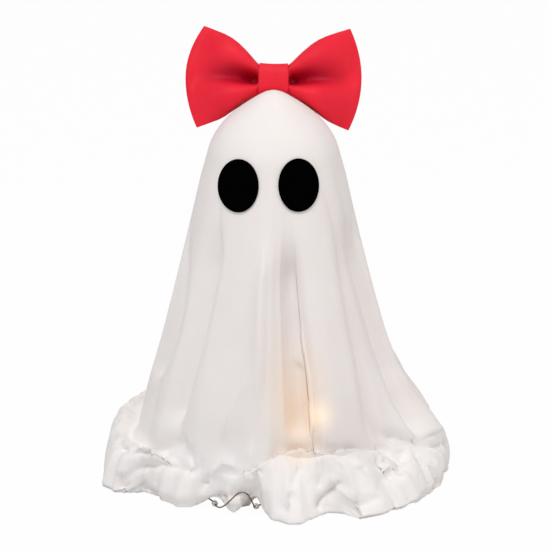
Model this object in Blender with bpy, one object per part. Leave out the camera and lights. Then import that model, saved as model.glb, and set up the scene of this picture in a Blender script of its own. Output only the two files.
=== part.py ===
"""Ghost tabletop ornament: a cloth cover with felt eyes and a bow, over a foam head on a wooden stand.

Units are metres. The origin is on the table under the post, +Z is up and the face looks along -Y.
Bearings are degrees round the post, from the front (-Y) towards the right (+X).
"""
import math

import bmesh
import bpy
from mathutils import Matrix, Vector
from mathutils.bvhtree import BVHTree

# Clearance that touching pieces keep, and the one that soft pieces keep on the folded cloth
GAP = 0.0003
SOFT_GAP = 0.0007

# How far every cutter runs past what it cuts
CUT_OVERRUN = 0.0016

# Cloth cover: the drape line from the crown to where the skirt meets the roll on the table
COVER_HEIGHT = 0.2880
SKIRT_RADIUS = 0.0970
CLOTH_WALL = 0.0015
DRAPE_SHARES = (
    (0.000, 1.000), (0.165, 0.978), (0.345, 0.929), (0.470, 0.868), (0.515, 0.812),
    (0.593, 0.712), (0.711, 0.556), (0.835, 0.396), (0.950, 0.250), (1.000, 0.122))
HEAD_LEVEL = 4
FOLD_START_SHARE = 0.80
FOLD_DEPTH = 0.0160
FOLD_FULLNESS = 0.75
FOLD_OPENING = 0.85

# Cloth cover: each fold starts at a valley, given by its bearing at the head, its bearing at the
# table and its depth as a share of the deepest one
VALLEY_SHARES = (
    (-96, -96, 0.50), (-72, -67, 0.60), (-43, -48, 0.75), (-14, -15, 0.35), (9, 11, 1.00),
    (46, 52, 0.60), (67, 76, 0.50), (98, 98, 0.65), (128, 126, 0.80), (160, 158, 0.60),
    (192, 194, 0.85), (228, 226, 0.70))
COLUMNS_A_FOLD = 4

# Cloth cover: the surplus is tucked under into a puffy roll
ROLL_RADIUS = 0.1260
ROLL_HEIGHT = 0.0440
ROLL_CREST_RADIUS = 0.1050
ROLL_CREST_SHARE = 0.55
ROLL_BELLY_SHARE = 0.27
HEM_SETBACK = 0.0060
HEM_EDGE_RADIUS = 0.0880
HEM_FOLD_WALLS = 4
HEM_LIP_WALLS = 2
LEAST_MITRE = 0.6
ROLL_OUTLINE_SHARES = (
    (-96, 0.93), (-76, 1.01), (-66, 1.02), (-60, 0.86), (-45, 0.88), (-33, 0.81), (-22, 0.79),
    (-13, 0.81), (-7, 0.76), (1, 0.96), (8, 1.00), (21, 0.82), (29, 1.03), (45, 1.03), (65, 1.01),
    (94, 1.00), (112, 0.96), (128, 1.01), (150, 0.96), (170, 1.02), (192, 0.95), (212, 1.01), (234, 0.97))
ROLL_HEIGHT_SHARES = (
    (-96, 0.95), (-60, 0.85), (-40, 1.00), (-14, 0.72), (2, 0.98), (34, 1.00), (58, 0.72),
    (76, 0.95), (110, 0.85), (150, 1.00), (192, 0.82), (226, 0.95), (250, 1.04))

# Cloth cover: by height, how far the skirt stands out where it flares straight into the roll, and
# by bearing how much of it flares so, and how much of it flows down to the table without a roll
FLARE_SHARES = (
    (0.122, 0.278), (0.160, 0.232), (0.222, 0.129), (0.295, 0.052), (0.382, 0.023), (0.486, 0.000))
FLARES = (
    (-96, 0.15), (-70, 0.00), (48, 0.00), (60, 0.25), (70, 0.70), (80, 0.95), (96, 1.00), (110, 0.85),
    (126, 0.30), (146, 0.60), (172, 0.05), (200, 0.45), (228, 0.10), (246, 0.20))
FLOWS = (
    (-96, 0.00), (-58, 0.05), (-50, 0.55), (-42, 0.90), (-32, 1.00), (-22, 0.85), (-13, 0.50),
    (-5, 0.12), (3, 0.00), (48, 0.00), (56, 0.45), (62, 0.55), (68, 0.20), (76, 0.00))
FLARE_CREST_SHARES = (0.55, 0.220)
FLOW_CREST_SHARE = 0.45
FLOW_LOW_SHARE = 0.20

# Cloth cover: arches in the hem that the light string passes under, by bearing, half width and rise
ARCHES = ((-8.5, 8.5, 0.0150), (-25.5, 10.0, 0.0090))

# Felt eyes: bearing of the middle of each, and the oval's size
EYE_BEARINGS = {"eye_left": -30.5, "eye_right": 21.5}
EYE_WIDTH = 0.0305
EYE_HEIGHT = 0.0370
EYE_MIDDLE_SHARE = 0.8044
FELT_THICKNESS = 0.0010
EYE_SEGMENTS = 28
EYE_RINGS = 5

# Bow: a pocket of satin drawn in at the waist by a band
BOW_WIDTH = 0.1270
BOW_END_HEIGHT = 0.0740
BOW_CORNER_SHARE = 0.84
BOW_RISE_SHARES = ((0.0, 0.0), (0.12, 0.17), (0.25, 0.38), (0.38, 0.56), (0.5, 0.69), (0.63, 0.79),
                   (0.8, 0.89), (1.0, 1.0))
BOW_WAIST_HEIGHT = 0.0174
BOW_WAIST_DEPTH = 0.0104
BOW_PUFF = 0.0125
BOW_EDGE = 0.0024
BOW_PLEAT = 0.0130
BOW_PLEAT_LEAST_WALL = 1.7
BOW_PLEAT_SHARES = {"middle": 0.20, "drop": 0.04, "above": (0.40, 0.50), "below": (0.16, 0.34),
                    "start": 0.10, "end": 0.88}
BOW_PUFF_SHARES = {"widest": 1.1, "end": 3.0, "edge": 2.6, "crown": 0.7}
BOW_SWEEP = 0.0050
BOW_LEAN = 23.5
PRESS_EASE = 4
PRESS_FAR = 30.0
BOW_COLUMNS = 12
BOW_ROWS = 15
BAND_WIDTH = 0.0220
BAND_WALL = 0.0012
BAND_SQUARENESS = 3.0
BAND_SEGMENTS = 28
PAD_WIDTH = 0.0140
PAD_DEPTH = 0.0070
PAD_LEAST = 0.0005
PAD_COLUMNS = 6

# Stand
BOARD_RADIUS = 0.0500
BOARD_THICKNESS = 0.0120
BOARD_CHAMFER = 0.0015
POST_RADIUS = 0.0060
POST_TOP_SHARE = 0.7986
POST_CHAMFER = 0.0010
POST_SOCKET_DEPTH = 0.0080
HEAD_SOCKET_DEPTH = 0.0450
HEAD_FLAT_RADIUS = 0.0200
HEAD_SIDE_SKINS = 1.4
HEAD_ROUND_STEPS = 6

# Battery box: two cells upright behind the post, the switch under them, the door slides up
CELL_RADIUS = 0.00725
CELL_LENGTH = 0.0495
CELL_NUB_RADIUS = 0.00275
CELL_NUB_LENGTH = 0.0010
CELL_EDGE = 0.0006
CELL_SEGMENTS = 24
BOX_WALL = 0.0016
BOX_CORNER = 0.0005
BOX_CORNER_STEPS = 2
BAY_CLEARANCE = 0.0004
BAY_END_PLAY = 0.0018
SWITCH_BAY_HEIGHT = 0.0080
FLOOR_BETWEEN_BAYS = 0.0016
DOOR_THICKNESS = 0.0014
DOOR_TONGUE = 0.0010
DOOR_GRIP_HEIGHT = 0.0080
DOOR_GRIP_RIBS = 4
DOOR_GRIP_RIB = 0.0008
TAPE_THICKNESS = 0.0030
TAPE_WIDTH = 0.0100
TAPE_END_SHARE = 0.15
TAPE_REACH_SHARE = 0.5
CONTACT_THICKNESS = 0.0005
CONTACT_SIZE = 0.0090
SPRING_LENGTH = 0.0050
SPRING_RADIUS = 0.0030
SPRING_WIRE = 0.0006
SPRING_CURLS = 4
POINTS_A_CURL = 10
KNOB_WIDTH = 0.0040
KNOB_HEIGHT = 0.0030
KNOB_REACH = 0.0016
KNOB_TRAVEL = 0.0030
SWITCH_WIDTH = 0.0110
SWITCH_DEPTH = 0.0050
SWITCH_HEIGHT = 0.0050

# Light string: one thin wire, wound on the post and then loose inside the cover
WIRE_RADIUS = 0.0005
WINDING_TURNS = 9
WINDING_PITCH = 0.0080
WINDING_LEAD_IN = 0.75
WINDING_END_BEARING = -107.5
POINTS_A_LOOP = 24
WIRE_EXIT = (-0.0090, 0.0140)
EXIT_CLEARANCE = 0.0006
EXIT_SEGMENTS = 12
EXIT_RISE = 0.0036
STRING_LEAD = 0.0040
STRING_POINTS = 80
ROUTE_STEPS = 20
LAMP_RADIUS = 0.0022
LAMP_LENGTH = 0.0050
LAMP_SPACING = 0.0545
LAMP_SEGMENTS = 10
LAMP_STEPS = 6
FIRST_LAMP = 0.0330

# The loose stretch of the string after the winding: down to the front of the cover, along the
# table, out through one arch of the hem, over a small loop, in through the other and round the back
STRING_ROUTE = (
    (-0.0030, -0.0160, 0.1690), (0.0020, -0.0300, 0.1600), (0.0140, -0.0500, 0.1330),
    (0.0250, -0.0680, 0.1000), (0.0300, -0.0770, 0.0700), (0.0290, -0.0775, 0.0420),
    (0.0250, -0.0740, 0.0170), (0.0140, -0.0700, 0.0050), (0.0020, -0.0720, 0.0026),
    (-0.0080, -0.0830, 0.0026), (-0.0130, -0.0940, 0.0040), (-0.0165, -0.1020, 0.0090),
    (-0.0220, -0.1040, 0.0110), (-0.0290, -0.1020, 0.0085), (-0.0360, -0.0975, 0.0045),
    (-0.0405, -0.0900, 0.0026), (-0.0430, -0.0790, 0.0024), (-0.0520, -0.0630, 0.0024),
    (-0.0680, -0.0420, 0.0024), (-0.0770, -0.0140, 0.0024), (-0.0750, 0.0160, 0.0024),
    (-0.0610, 0.0440, 0.0024), (-0.0380, 0.0640, 0.0024), (-0.0080, 0.0730, 0.0024),
    (0.0230, 0.0680, 0.0024), (0.0480, 0.0520, 0.0024), (0.0560, 0.0395, 0.0024))

ROUND_SEGMENTS = 32
SHARP_ANGLE = 40


def clear_scene():
    """Remove what the file holds."""
    for item in list(bpy.data.objects):
        bpy.data.objects.remove(item)


def make_material(name, colour, roughness, metallic=0.0):
    """A plain material of the piece's colour."""
    material = bpy.data.materials.new(name)
    material.use_nodes = True
    shader = material.node_tree.nodes["Principled BSDF"]
    shader.inputs["Base Color"].default_value = (*colour, 1.0)
    shader.inputs["Roughness"].default_value = roughness
    shader.inputs["Metallic"].default_value = metallic
    material.diffuse_color = (*colour, 1.0)
    return material


def add_object(name, mesh_builder, material, location=(0.0, 0.0, 0.0)):
    """Turn a bmesh into a named object with outward faces."""
    bmesh.ops.recalc_face_normals(mesh_builder, faces=mesh_builder.faces)
    mesh = bpy.data.meshes.new(name)
    mesh_builder.to_mesh(mesh)
    mesh_builder.free()
    mesh.materials.append(material)
    mesh.shade_smooth()
    mesh.set_sharp_from_angle(angle=math.radians(SHARP_ANGLE))
    item = bpy.data.objects.new(name, mesh)
    item.location = location
    bpy.context.scene.collection.objects.link(item)
    return item


def from_bearing(bearing, radius, height):
    """The point at a bearing, a radius and a height."""
    turn = math.radians(bearing)
    return Vector((radius * math.sin(turn), -radius * math.cos(turn), height))


def mix(first, second, share):
    """The value a share of the way from the first to the second."""
    return first + (second - first) * share


def read_table(table, position):
    """Linear reading of a table of (position, value)."""
    for (left, low), (right, high) in zip(table, table[1:]):
        if position <= right:
            return mix(low, high, max(0.0, (position - left) / (right - left)))
    return table[-1][1]


def read_round_table(table, bearing):
    """Smooth reading of a table of (bearing, value) that closes on itself."""
    first = table[0][0]
    turned = first + (bearing - first) % 360
    closed = tuple(table) + ((first + 360, table[0][1]),)
    for (left, low), (right, high) in zip(closed, closed[1:]):
        if turned <= right:
            share = (turned - left) / (right - left)
            return mix(low, high, 0.5 - 0.5 * math.cos(math.pi * share))
    return table[0][1]


def lathe(profile, segments):
    """Turn a profile of (radius, height) round the Z axis, closing it at the axis."""
    builder = bmesh.new()
    rows = []
    for radius, height in profile:
        if radius == 0.0:
            rows.append([builder.verts.new((0.0, 0.0, height))])
            continue
        turns = [2 * math.pi * index / segments for index in range(segments)]
        rows.append([builder.verts.new((radius * math.cos(turn), radius * math.sin(turn), height))
                     for turn in turns])
    for upper, lower in zip(rows, rows[1:]):
        join_rings(builder, upper, lower)
    return builder


def join_rings(builder, first, second):
    """Faces between two rings of vertices, either of which may be a single point."""
    count = max(len(first), len(second))
    for index in range(count):
        following = (index + 1) % count
        if len(first) == 1:
            builder.faces.new((first[0], second[index], second[following]))
        elif len(second) == 1:
            builder.faces.new((first[index], first[following], second[0]))
        else:
            builder.faces.new((first[index], first[following], second[following], second[index]))


def box_builder(size, centre):
    """A box of a size round a centre."""
    builder = bmesh.new()
    bmesh.ops.create_cube(builder, size=1.0)
    bmesh.ops.scale(builder, vec=size, verts=builder.verts)
    bmesh.ops.translate(builder, vec=centre, verts=builder.verts)
    return builder


def cut(item, cutter):
    """Take one object away from another, and hide the cutter."""
    modifier = item.modifiers.new("cut_" + cutter.name, "BOOLEAN")
    modifier.operation = "DIFFERENCE"
    modifier.solver = "EXACT"
    modifier.object = cutter
    cutter.hide_render = True
    cutter.display_type = "WIRE"


def add_tube(name, points, radius, resolution, material):
    """A round tube along points, with its ends filled."""
    curve = bpy.data.curves.new(name, "CURVE")
    curve.dimensions = "3D"
    curve.bevel_depth = radius
    curve.bevel_resolution = resolution
    curve.use_fill_caps = True
    spline = curve.splines.new("POLY")
    spline.points.add(len(points) - 1)
    for place, point in zip(spline.points, points):
        place.co = (*point, 1.0)
    curve.materials.append(material)
    item = bpy.data.objects.new(name, curve)
    bpy.context.scene.collection.objects.link(item)
    return item


# The cloth cover

def drape_radius(height):
    """The radius of the drape line, over its folds, at a height."""
    table = [(high * COVER_HEIGHT, wide * SKIRT_RADIUS) for wide, high in reversed(DRAPE_SHARES)]
    return read_table(table, height)


def fold_amount(height):
    """How far the folds have opened: nothing at the head, all at the table."""
    start = FOLD_START_SHARE * COVER_HEIGHT
    share = min(1.0, max(0.0, (start - height) / start))
    return share ** FOLD_OPENING


def fold_columns():
    """Every column of the cover: bearing at the head, bearing at the table, depth share."""
    columns = []
    following = VALLEY_SHARES[1:] + ((VALLEY_SHARES[0][0] + 360, VALLEY_SHARES[0][1] + 360,
                                      VALLEY_SHARES[0][2]),)
    for valley, after in zip(VALLEY_SHARES, following):
        for step in range(COLUMNS_A_FOLD):
            share = step / COLUMNS_A_FOLD
            open_share = math.sin(math.pi * share) ** FOLD_FULLNESS
            depth = mix(valley[2], after[2], share) * (1.0 - open_share)
            columns.append((mix(valley[0], after[0], share), mix(valley[1], after[1], share), depth))
    return columns


def arch_rise(bearing):
    """How high the hem stands off the table at a bearing."""
    rise = 0.0
    for middle, half_width, height in ARCHES:
        away = abs((bearing - middle + 180) % 360 - 180) / half_width
        rise = max(rise, height * (1.0 - away))
    return rise


def skirt_line(column):
    """The outer line of one column of the cover above the roll, as (bearing, radius, height)."""
    top_bearing, table_bearing, depth_share = column
    line = []
    for _, high in DRAPE_SHARES[1:]:
        height = high * COVER_HEIGHT
        amount = fold_amount(height)
        bearing = mix(top_bearing, table_bearing, amount)
        folded = drape_radius(height) - FOLD_DEPTH * depth_share * amount
        line.append((bearing, folded + flare_at(table_bearing, high), height))
    return line


def flare_at(bearing, height_share):
    """How far the skirt stands out where it flares into the roll."""
    if height_share > FLARE_SHARES[-1][0]:
        return 0.0
    return SKIRT_RADIUS * read_round_table(FLARES, bearing) * read_table(FLARE_SHARES, height_share)


def roll_line(column):
    """The outer line of one column of the roll, from its crest to the hem's edge inside."""
    bearing = column[1]
    _, start_radius, start_height = skirt_line(column)[-1]
    reach = ROLL_RADIUS * read_round_table(ROLL_OUTLINE_SHARES, bearing)
    crest = ROLL_HEIGHT * read_round_table(ROLL_HEIGHT_SHARES, bearing)
    flare = read_round_table(FLARES, bearing)
    flow = read_round_table(FLOWS, bearing)
    rise = arch_rise(bearing)
    least = rise + HEM_FOLD_WALLS * CLOTH_WALL
    puffed = ((min(ROLL_CREST_RADIUS, mix(SKIRT_RADIUS, reach, ROLL_CREST_SHARE)), crest),
              (reach, max(crest * ROLL_BELLY_SHARE, least)))
    out, down = FLARE_CREST_SHARES
    flared = ((mix(start_radius, reach, out), start_height - down * start_height),
              (reach, max(ROLL_BELLY_SHARE * ROLL_HEIGHT, least)))
    low = max(FLOW_LOW_SHARE * ROLL_HEIGHT, least)
    flowing = ((mix(start_radius, reach, FLOW_CREST_SHARE), mix(start_height, low, FLOW_CREST_SHARE)),
               (reach, low))
    line = []
    for puff, wide, straight in zip(puffed, flared, flowing):
        spot = [mix(a, b, flare) for a, b in zip(puff, wide)]
        line.append((bearing, *(mix(a, b, flow) for a, b in zip(spot, straight))))
    line.append((bearing, max(reach - HEM_SETBACK, HEM_EDGE_RADIUS + HEM_LIP_WALLS * CLOTH_WALL),
                 rise + GAP))
    line.append((bearing, HEM_EDGE_RADIUS, rise + GAP))
    return line


def inner_line(line):
    """The same line moved in by the wall, square to the line's own direction."""
    flat = [(0.0, COVER_HEIGHT)] + [(radius, height) for _, radius, height in line]
    moved = []
    for index, (bearing, radius, height) in enumerate(line, start=1):
        before = Vector(flat[index]) - Vector(flat[index - 1])
        after = Vector(flat[index + 1]) - Vector(flat[index]) if index + 1 < len(flat) else before
        square = before.normalized() + after.normalized()
        inward = Vector((square.y, -square.x)).normalized()
        stretch = 1.0 / max(LEAST_MITRE, inward.dot(Vector((before.y, -before.x)).normalized()))
        moved.append((bearing, radius + inward.x * CLOTH_WALL * stretch,
                      height + inward.y * CLOTH_WALL * stretch))
    return moved


def cover_rings(builder, lines, tip):
    """Rings of vertices for one side of the cover, joined from the crown down."""
    rings = [[builder.verts.new((0.0, 0.0, tip))]]
    for level in range(len(lines[0])):
        rings.append([builder.verts.new(from_bearing(*line[level])) for line in lines])
    for upper, lower in zip(rings, rings[1:]):
        join_rings(builder, upper, lower)
    return rings


def make_cover(material):
    """The cloth cover, open below, with its folds and its tucked roll; gives its outside for seating."""
    outer = [skirt_line(column) + roll_line(column) for column in fold_columns()]
    inner = [inner_line(line) for line in outer]
    surface = bmesh.new()
    cover_rings(surface, outer, COVER_HEIGHT)
    tree = BVHTree.FromBMesh(surface)
    surface.free()
    builder = bmesh.new()
    outside = cover_rings(builder, outer, COVER_HEIGHT)
    inside = cover_rings(builder, inner, COVER_HEIGHT - CLOTH_WALL)
    join_rings(builder, outside[-1], inside[-1])
    add_object("cloth_cover", builder, material)
    return tree


def patch(name, rows, lift, thickness, material):
    """A closed patch of a thickness, laid a lift above rows of (point, direction)."""
    builder = bmesh.new()
    layers = []
    for height in (lift, lift + thickness):
        layers.append([[builder.verts.new(point + direction * height) for point, direction in row]
                       for row in rows])
    for layer in layers:
        for first, second in zip(layer, layer[1:]):
            join_rings(builder, first, second)
    join_rings(builder, layers[0][-1], layers[1][-1])
    return add_object(name, builder, material)


def make_eyes(tree, material):
    """The two felt ovals, pressed onto the front of the cover."""
    for name, middle in EYE_BEARINGS.items():
        middle_height = EYE_MIDDLE_SHARE * COVER_HEIGHT
        axis_radius = drape_radius(middle_height)
        rows = []
        for ring in range(EYE_RINGS + 1):
            share = ring / EYE_RINGS
            row = []
            for step in range(EYE_SEGMENTS if ring else 1):
                turn = 2 * math.pi * step / EYE_SEGMENTS
                across = 0.5 * EYE_WIDTH * share * math.cos(turn)
                height = middle_height + 0.5 * EYE_HEIGHT * share * math.sin(turn)
                bearing = middle + math.degrees(across / axis_radius)
                row.append(seat_on_cover(tree, bearing, height))
            rows.append(row)
        patch(name, rows, SOFT_GAP, FELT_THICKNESS, material)


def seat_on_cover(tree, bearing, height):
    """The point of the cover at a bearing and height, and the way out from it."""
    outward = from_bearing(bearing, 1.0, 0.0)
    start = Vector((0.0, 0.0, height))
    spot, normal, _, _ = tree.ray_cast(start, outward)
    out = (outward + (normal if normal.dot(outward) > 0 else -normal)).normalized()
    return spot, out


# The bow

def bow_frame(tree):
    """The bow's own frame: X across, Y back, Z up along its lean, its band clear of the cover."""
    lean = Matrix.Rotation(math.radians(-BOW_LEAN), 4, "X")
    up = lean.to_3x3() @ Vector((0.0, 0.0, 1.0))
    centre = head_centre()
    half_depth = 0.5 * BOW_WAIST_DEPTH + 0.5 * BOW_EDGE + GAP + BAND_WALL
    highest = 0.0
    for row in range(PAD_COLUMNS + 1):
        for column in range(PAD_COLUMNS + 1):
            across = (column / PAD_COLUMNS - 0.5) * BAND_WIDTH
            depth = (2 * row / PAD_COLUMNS - 1.0) * half_depth
            above = centre + lean.to_3x3() @ Vector((across, depth, COVER_HEIGHT))
            spot, _, _, _ = tree.ray_cast(above, -up)
            if spot is not None:
                highest = max(highest, (spot - centre).dot(up))
    stand_off = SOFT_GAP + PAD_LEAST + GAP + BAND_WALL + GAP + 0.5 * BOW_WAIST_HEIGHT
    return Matrix.Translation(centre + up * (highest + stand_off)) @ lean


def head_centre():
    """The middle of the head, on the post's axis at the height where the drape line leaves it."""
    return Vector((0.0, 0.0, DRAPE_SHARES[HEAD_LEVEL][1] * COVER_HEIGHT))


def bow_edge_height(out_share):
    """Half the height of the pocket at a share of the way from the waist to its end."""
    rise = read_table(BOW_RISE_SHARES, out_share)
    return mix(0.5 * BOW_WAIST_HEIGHT, 0.5 * BOW_END_HEIGHT, rise)


def bow_puff(out_share, up_share):
    """Half the depth of the pocket, without its pleat."""
    shares = BOW_PUFF_SHARES
    filled = math.sin(math.pi * min(1.0, out_share * shares["widest"]))
    body = mix(0.5 * BOW_WAIST_DEPTH, BOW_PUFF, filled)
    body = body * math.cos(0.5 * math.pi * out_share ** shares["end"])
    return 0.5 * BOW_EDGE + body * (1.0 - abs(up_share) ** shares["edge"]) ** shares["crown"]


def bow_pleat(out_share, up_share):
    """How far the front is drawn in along the pleat that runs out from the waist: it sinks slowly
    from above and stands up sharply below."""
    shares = BOW_PLEAT_SHARES
    middle = shares["middle"] * math.sin(math.pi * out_share) - shares["drop"]
    width = mix(*shares["above" if up_share > middle else "below"], out_share)
    fade = max(0.0, 1.0 - out_share / shares["end"])
    start = min(1.0, out_share / shares["start"])
    return BOW_PLEAT * start * fade * math.exp(-((up_share - middle) / width) ** 2)


def bow_loop(side, out_share):
    """One closed loop of points round the pocket, in the bow's own frame."""
    half_band = 0.5 * BAND_WIDTH
    corner = 0.5 * BOW_WIDTH * BOW_CORNER_SHARE
    bulge = 0.5 * BOW_WIDTH - corner
    edge = bow_edge_height(out_share)
    front, back = [], []
    for row in range(BOW_ROWS):
        up_share = 2.0 * row / (BOW_ROWS - 1) - 1.0
        across = mix(half_band, corner, out_share) + bulge * out_share ** 2 * (1.0 - up_share ** 2)
        sweep = BOW_SWEEP * out_share ** 2
        puff = bow_puff(out_share, up_share)
        pleat = min(bow_pleat(out_share, up_share), BOW_PLEAT_LEAST_WALL * puff)
        front.append(Vector((side * across, sweep - puff + pleat, up_share * edge)))
        back.append(Vector((side * across, sweep + puff, up_share * edge)))
    return front + back[::-1]


def press_clear(points, tree, least):
    """Move points that lie in the head out to its surface, and ease those that lie close to it."""
    centre = head_centre()
    ease = PRESS_EASE * least
    moved = []
    for point in points:
        away = point - centre
        spot, _, _, _ = tree.ray_cast(centre, away)
        if spot is None:
            moved.append(point)
            continue
        surface = (spot - centre).length + least
        over = (away.length - surface) / ease
        soft = math.log1p(math.exp(over)) if over < PRESS_FAR else over
        moved.append(centre + away.normalized() * (surface + ease * soft))
    return moved


def make_bow(tree, frame, material):
    """The satin pocket, from one end through the waist to the other."""
    shares = [step / BOW_COLUMNS for step in range(BOW_COLUMNS + 1)]
    stations = [(-1, share) for share in reversed(shares)] + [(1, share) for share in shares]
    builder = bmesh.new()
    loops = []
    for side, share in stations:
        points = [frame @ point for point in bow_loop(side, share)]
        loops.append([builder.verts.new(point) for point in press_clear(points, tree, SOFT_GAP)])
    for first, second in zip(loops, loops[1:]):
        join_rings(builder, first, second)
    for loop in (loops[0], loops[-1]):
        front = loop[:BOW_ROWS]
        back = loop[BOW_ROWS:][::-1]
        for row in range(BOW_ROWS - 1):
            builder.faces.new((front[row], front[row + 1], back[row + 1], back[row]))
    return add_object("bow", builder, material)


def band_outline(half_height, half_depth):
    """The rounded outline of the band, across the bow."""
    points = []
    power = 2.0 / BAND_SQUARENESS
    for step in range(BAND_SEGMENTS):
        turn = 2 * math.pi * step / BAND_SEGMENTS
        depth = math.copysign(abs(math.cos(turn)) ** power, math.cos(turn)) * half_depth
        height = math.copysign(abs(math.sin(turn)) ** power, math.sin(turn)) * half_height
        points.append((depth, height))
    return points


def make_band(frame, material):
    """The band round the bow's waist."""
    inner = band_outline(0.5 * BOW_WAIST_HEIGHT + GAP, 0.5 * BOW_WAIST_DEPTH + 0.5 * BOW_EDGE + GAP)
    outer = band_outline(0.5 * BOW_WAIST_HEIGHT + GAP + BAND_WALL,
                         0.5 * BOW_WAIST_DEPTH + 0.5 * BOW_EDGE + GAP + BAND_WALL)
    builder = bmesh.new()
    half = 0.5 * BAND_WIDTH - GAP
    rings = []
    for across, outline in ((-half, inner), (-half, outer), (half, outer), (half, inner)):
        rings.append([builder.verts.new(frame @ Vector((across, depth, height)))
                      for depth, height in outline])
    for first, second in zip(rings, rings[1:] + rings[:1]):
        join_rings(builder, first, second)
    return add_object("bow_band", builder, material)


def make_pad(tree, frame, material):
    """The glue pad between the band and the crown of the cover."""
    builder = bmesh.new()
    top = -(0.5 * BOW_WAIST_HEIGHT + GAP + BAND_WALL + GAP)
    down = frame.to_3x3() @ Vector((0.0, 0.0, -1.0))
    upper, lower = [], []
    for row in range(PAD_COLUMNS + 1):
        upper.append([])
        lower.append([])
        for column in range(PAD_COLUMNS + 1):
            across = (column / PAD_COLUMNS - 0.5) * PAD_WIDTH
            depth = (row / PAD_COLUMNS - 0.5) * PAD_DEPTH
            start = frame @ Vector((across, depth, top))
            spot, _, _, _ = tree.ray_cast(start, down)
            upper[-1].append(builder.verts.new(start))
            lower[-1].append(builder.verts.new(spot - down * SOFT_GAP))
    join_sheets(builder, upper, lower)
    return add_object("bow_pad", builder, material)


def join_sheets(builder, upper, lower):
    """Close two grids of vertices of the same size into one solid."""
    for grid in (upper, lower):
        for first, second in zip(grid, grid[1:]):
            for index in range(len(first) - 1):
                builder.faces.new((first[index], first[index + 1], second[index + 1], second[index]))
    for grid_edge in (lambda grid: grid[0], lambda grid: grid[-1],
                      lambda grid: [row[0] for row in grid], lambda grid: [row[-1] for row in grid]):
        high, low = grid_edge(upper), grid_edge(lower)
        for index in range(len(high) - 1):
            builder.faces.new((high[index], high[index + 1], low[index + 1], low[index]))


# The stand

def make_board(material):
    """The round base board with a blind hole for the post."""
    hole = POST_RADIUS + GAP
    profile = ((0.0, 0.0), (BOARD_RADIUS - BOARD_CHAMFER, 0.0), (BOARD_RADIUS, BOARD_CHAMFER),
               (BOARD_RADIUS, BOARD_THICKNESS - BOARD_CHAMFER),
               (BOARD_RADIUS - BOARD_CHAMFER, BOARD_THICKNESS), (hole, BOARD_THICKNESS),
               (hole, BOARD_THICKNESS - POST_SOCKET_DEPTH), (0.0, BOARD_THICKNESS - POST_SOCKET_DEPTH))
    return add_object("base_board", lathe(profile, 2 * ROUND_SEGMENTS), material)


def make_post(material):
    """The wooden post, glued into the board and the head."""
    top = POST_TOP_SHARE * COVER_HEIGHT
    foot = BOARD_THICKNESS - POST_SOCKET_DEPTH + GAP
    profile = ((0.0, foot), (POST_RADIUS - POST_CHAMFER, foot), (POST_RADIUS, foot + POST_CHAMFER),
               (POST_RADIUS, top - POST_CHAMFER), (POST_RADIUS - POST_CHAMFER, top), (0.0, top))
    return add_object("post", lathe(profile, ROUND_SEGMENTS), material)


def make_head(material):
    """The foam head: the drape line's shape above its middle, rounded to a flat below."""
    skin = CLOTH_WALL + GAP
    middle = head_centre().z
    profile = [(0.0, COVER_HEIGHT - skin)]
    for wide, high in DRAPE_SHARES[1:HEAD_LEVEL + 1]:
        slope = 1.0 - (high * COVER_HEIGHT - middle) / (COVER_HEIGHT - middle)
        profile.append((wide * SKIRT_RADIUS - skin * mix(HEAD_SIDE_SKINS, 1.0, slope),
                        high * COVER_HEIGHT - skin * mix(1.0, 0.0, slope)))
    widest = profile[-1][0]
    socket_top = POST_TOP_SHARE * COVER_HEIGHT + GAP
    bottom = socket_top - HEAD_SOCKET_DEPTH
    for step in range(1, HEAD_ROUND_STEPS):
        turn = 0.5 * math.pi * step / HEAD_ROUND_STEPS
        profile.append((max(widest * math.cos(turn), HEAD_FLAT_RADIUS),
                        middle - (middle - bottom) * math.sin(turn)))
    profile.append((HEAD_FLAT_RADIUS, bottom))
    hole = POST_RADIUS + GAP
    profile += [(hole, bottom), (hole, socket_top), (0.0, socket_top)]
    return add_object("foam_head", lathe(profile, ROUND_SEGMENTS), material)


# The battery box

def box_sizes():
    """The inner and outer sizes of the battery box and where it stands."""
    inner_width = 4 * CELL_RADIUS + 3 * BAY_CLEARANCE
    inner_depth = 2 * CELL_RADIUS + 2 * BAY_CLEARANCE
    inner_height = CELL_LENGTH + CELL_NUB_LENGTH + SPRING_LENGTH + 2 * CONTACT_THICKNESS + BAY_END_PLAY
    back = POST_RADIUS + GAP + TAPE_THICKNESS + GAP
    foot = BOARD_THICKNESS + GAP
    bay_floor = foot + BOX_WALL + SWITCH_BAY_HEIGHT + FLOOR_BETWEEN_BAYS
    return {
        "inner_width": inner_width, "inner_depth": inner_depth, "inner_height": inner_height,
        "width": inner_width + 2 * BOX_WALL, "back": back, "bay_back": back + BOX_WALL,
        "front": back + BOX_WALL + inner_depth, "foot": foot, "bay_floor": bay_floor,
        "bay_roof": bay_floor + inner_height, "top": bay_floor + inner_height + BOX_WALL}


def span_box(low, high):
    """A box between two corners."""
    size = [b - a for a, b in zip(low, high)]
    centre = [0.5 * (a + b) for a, b in zip(low, high)]
    return box_builder(size, centre)


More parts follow.
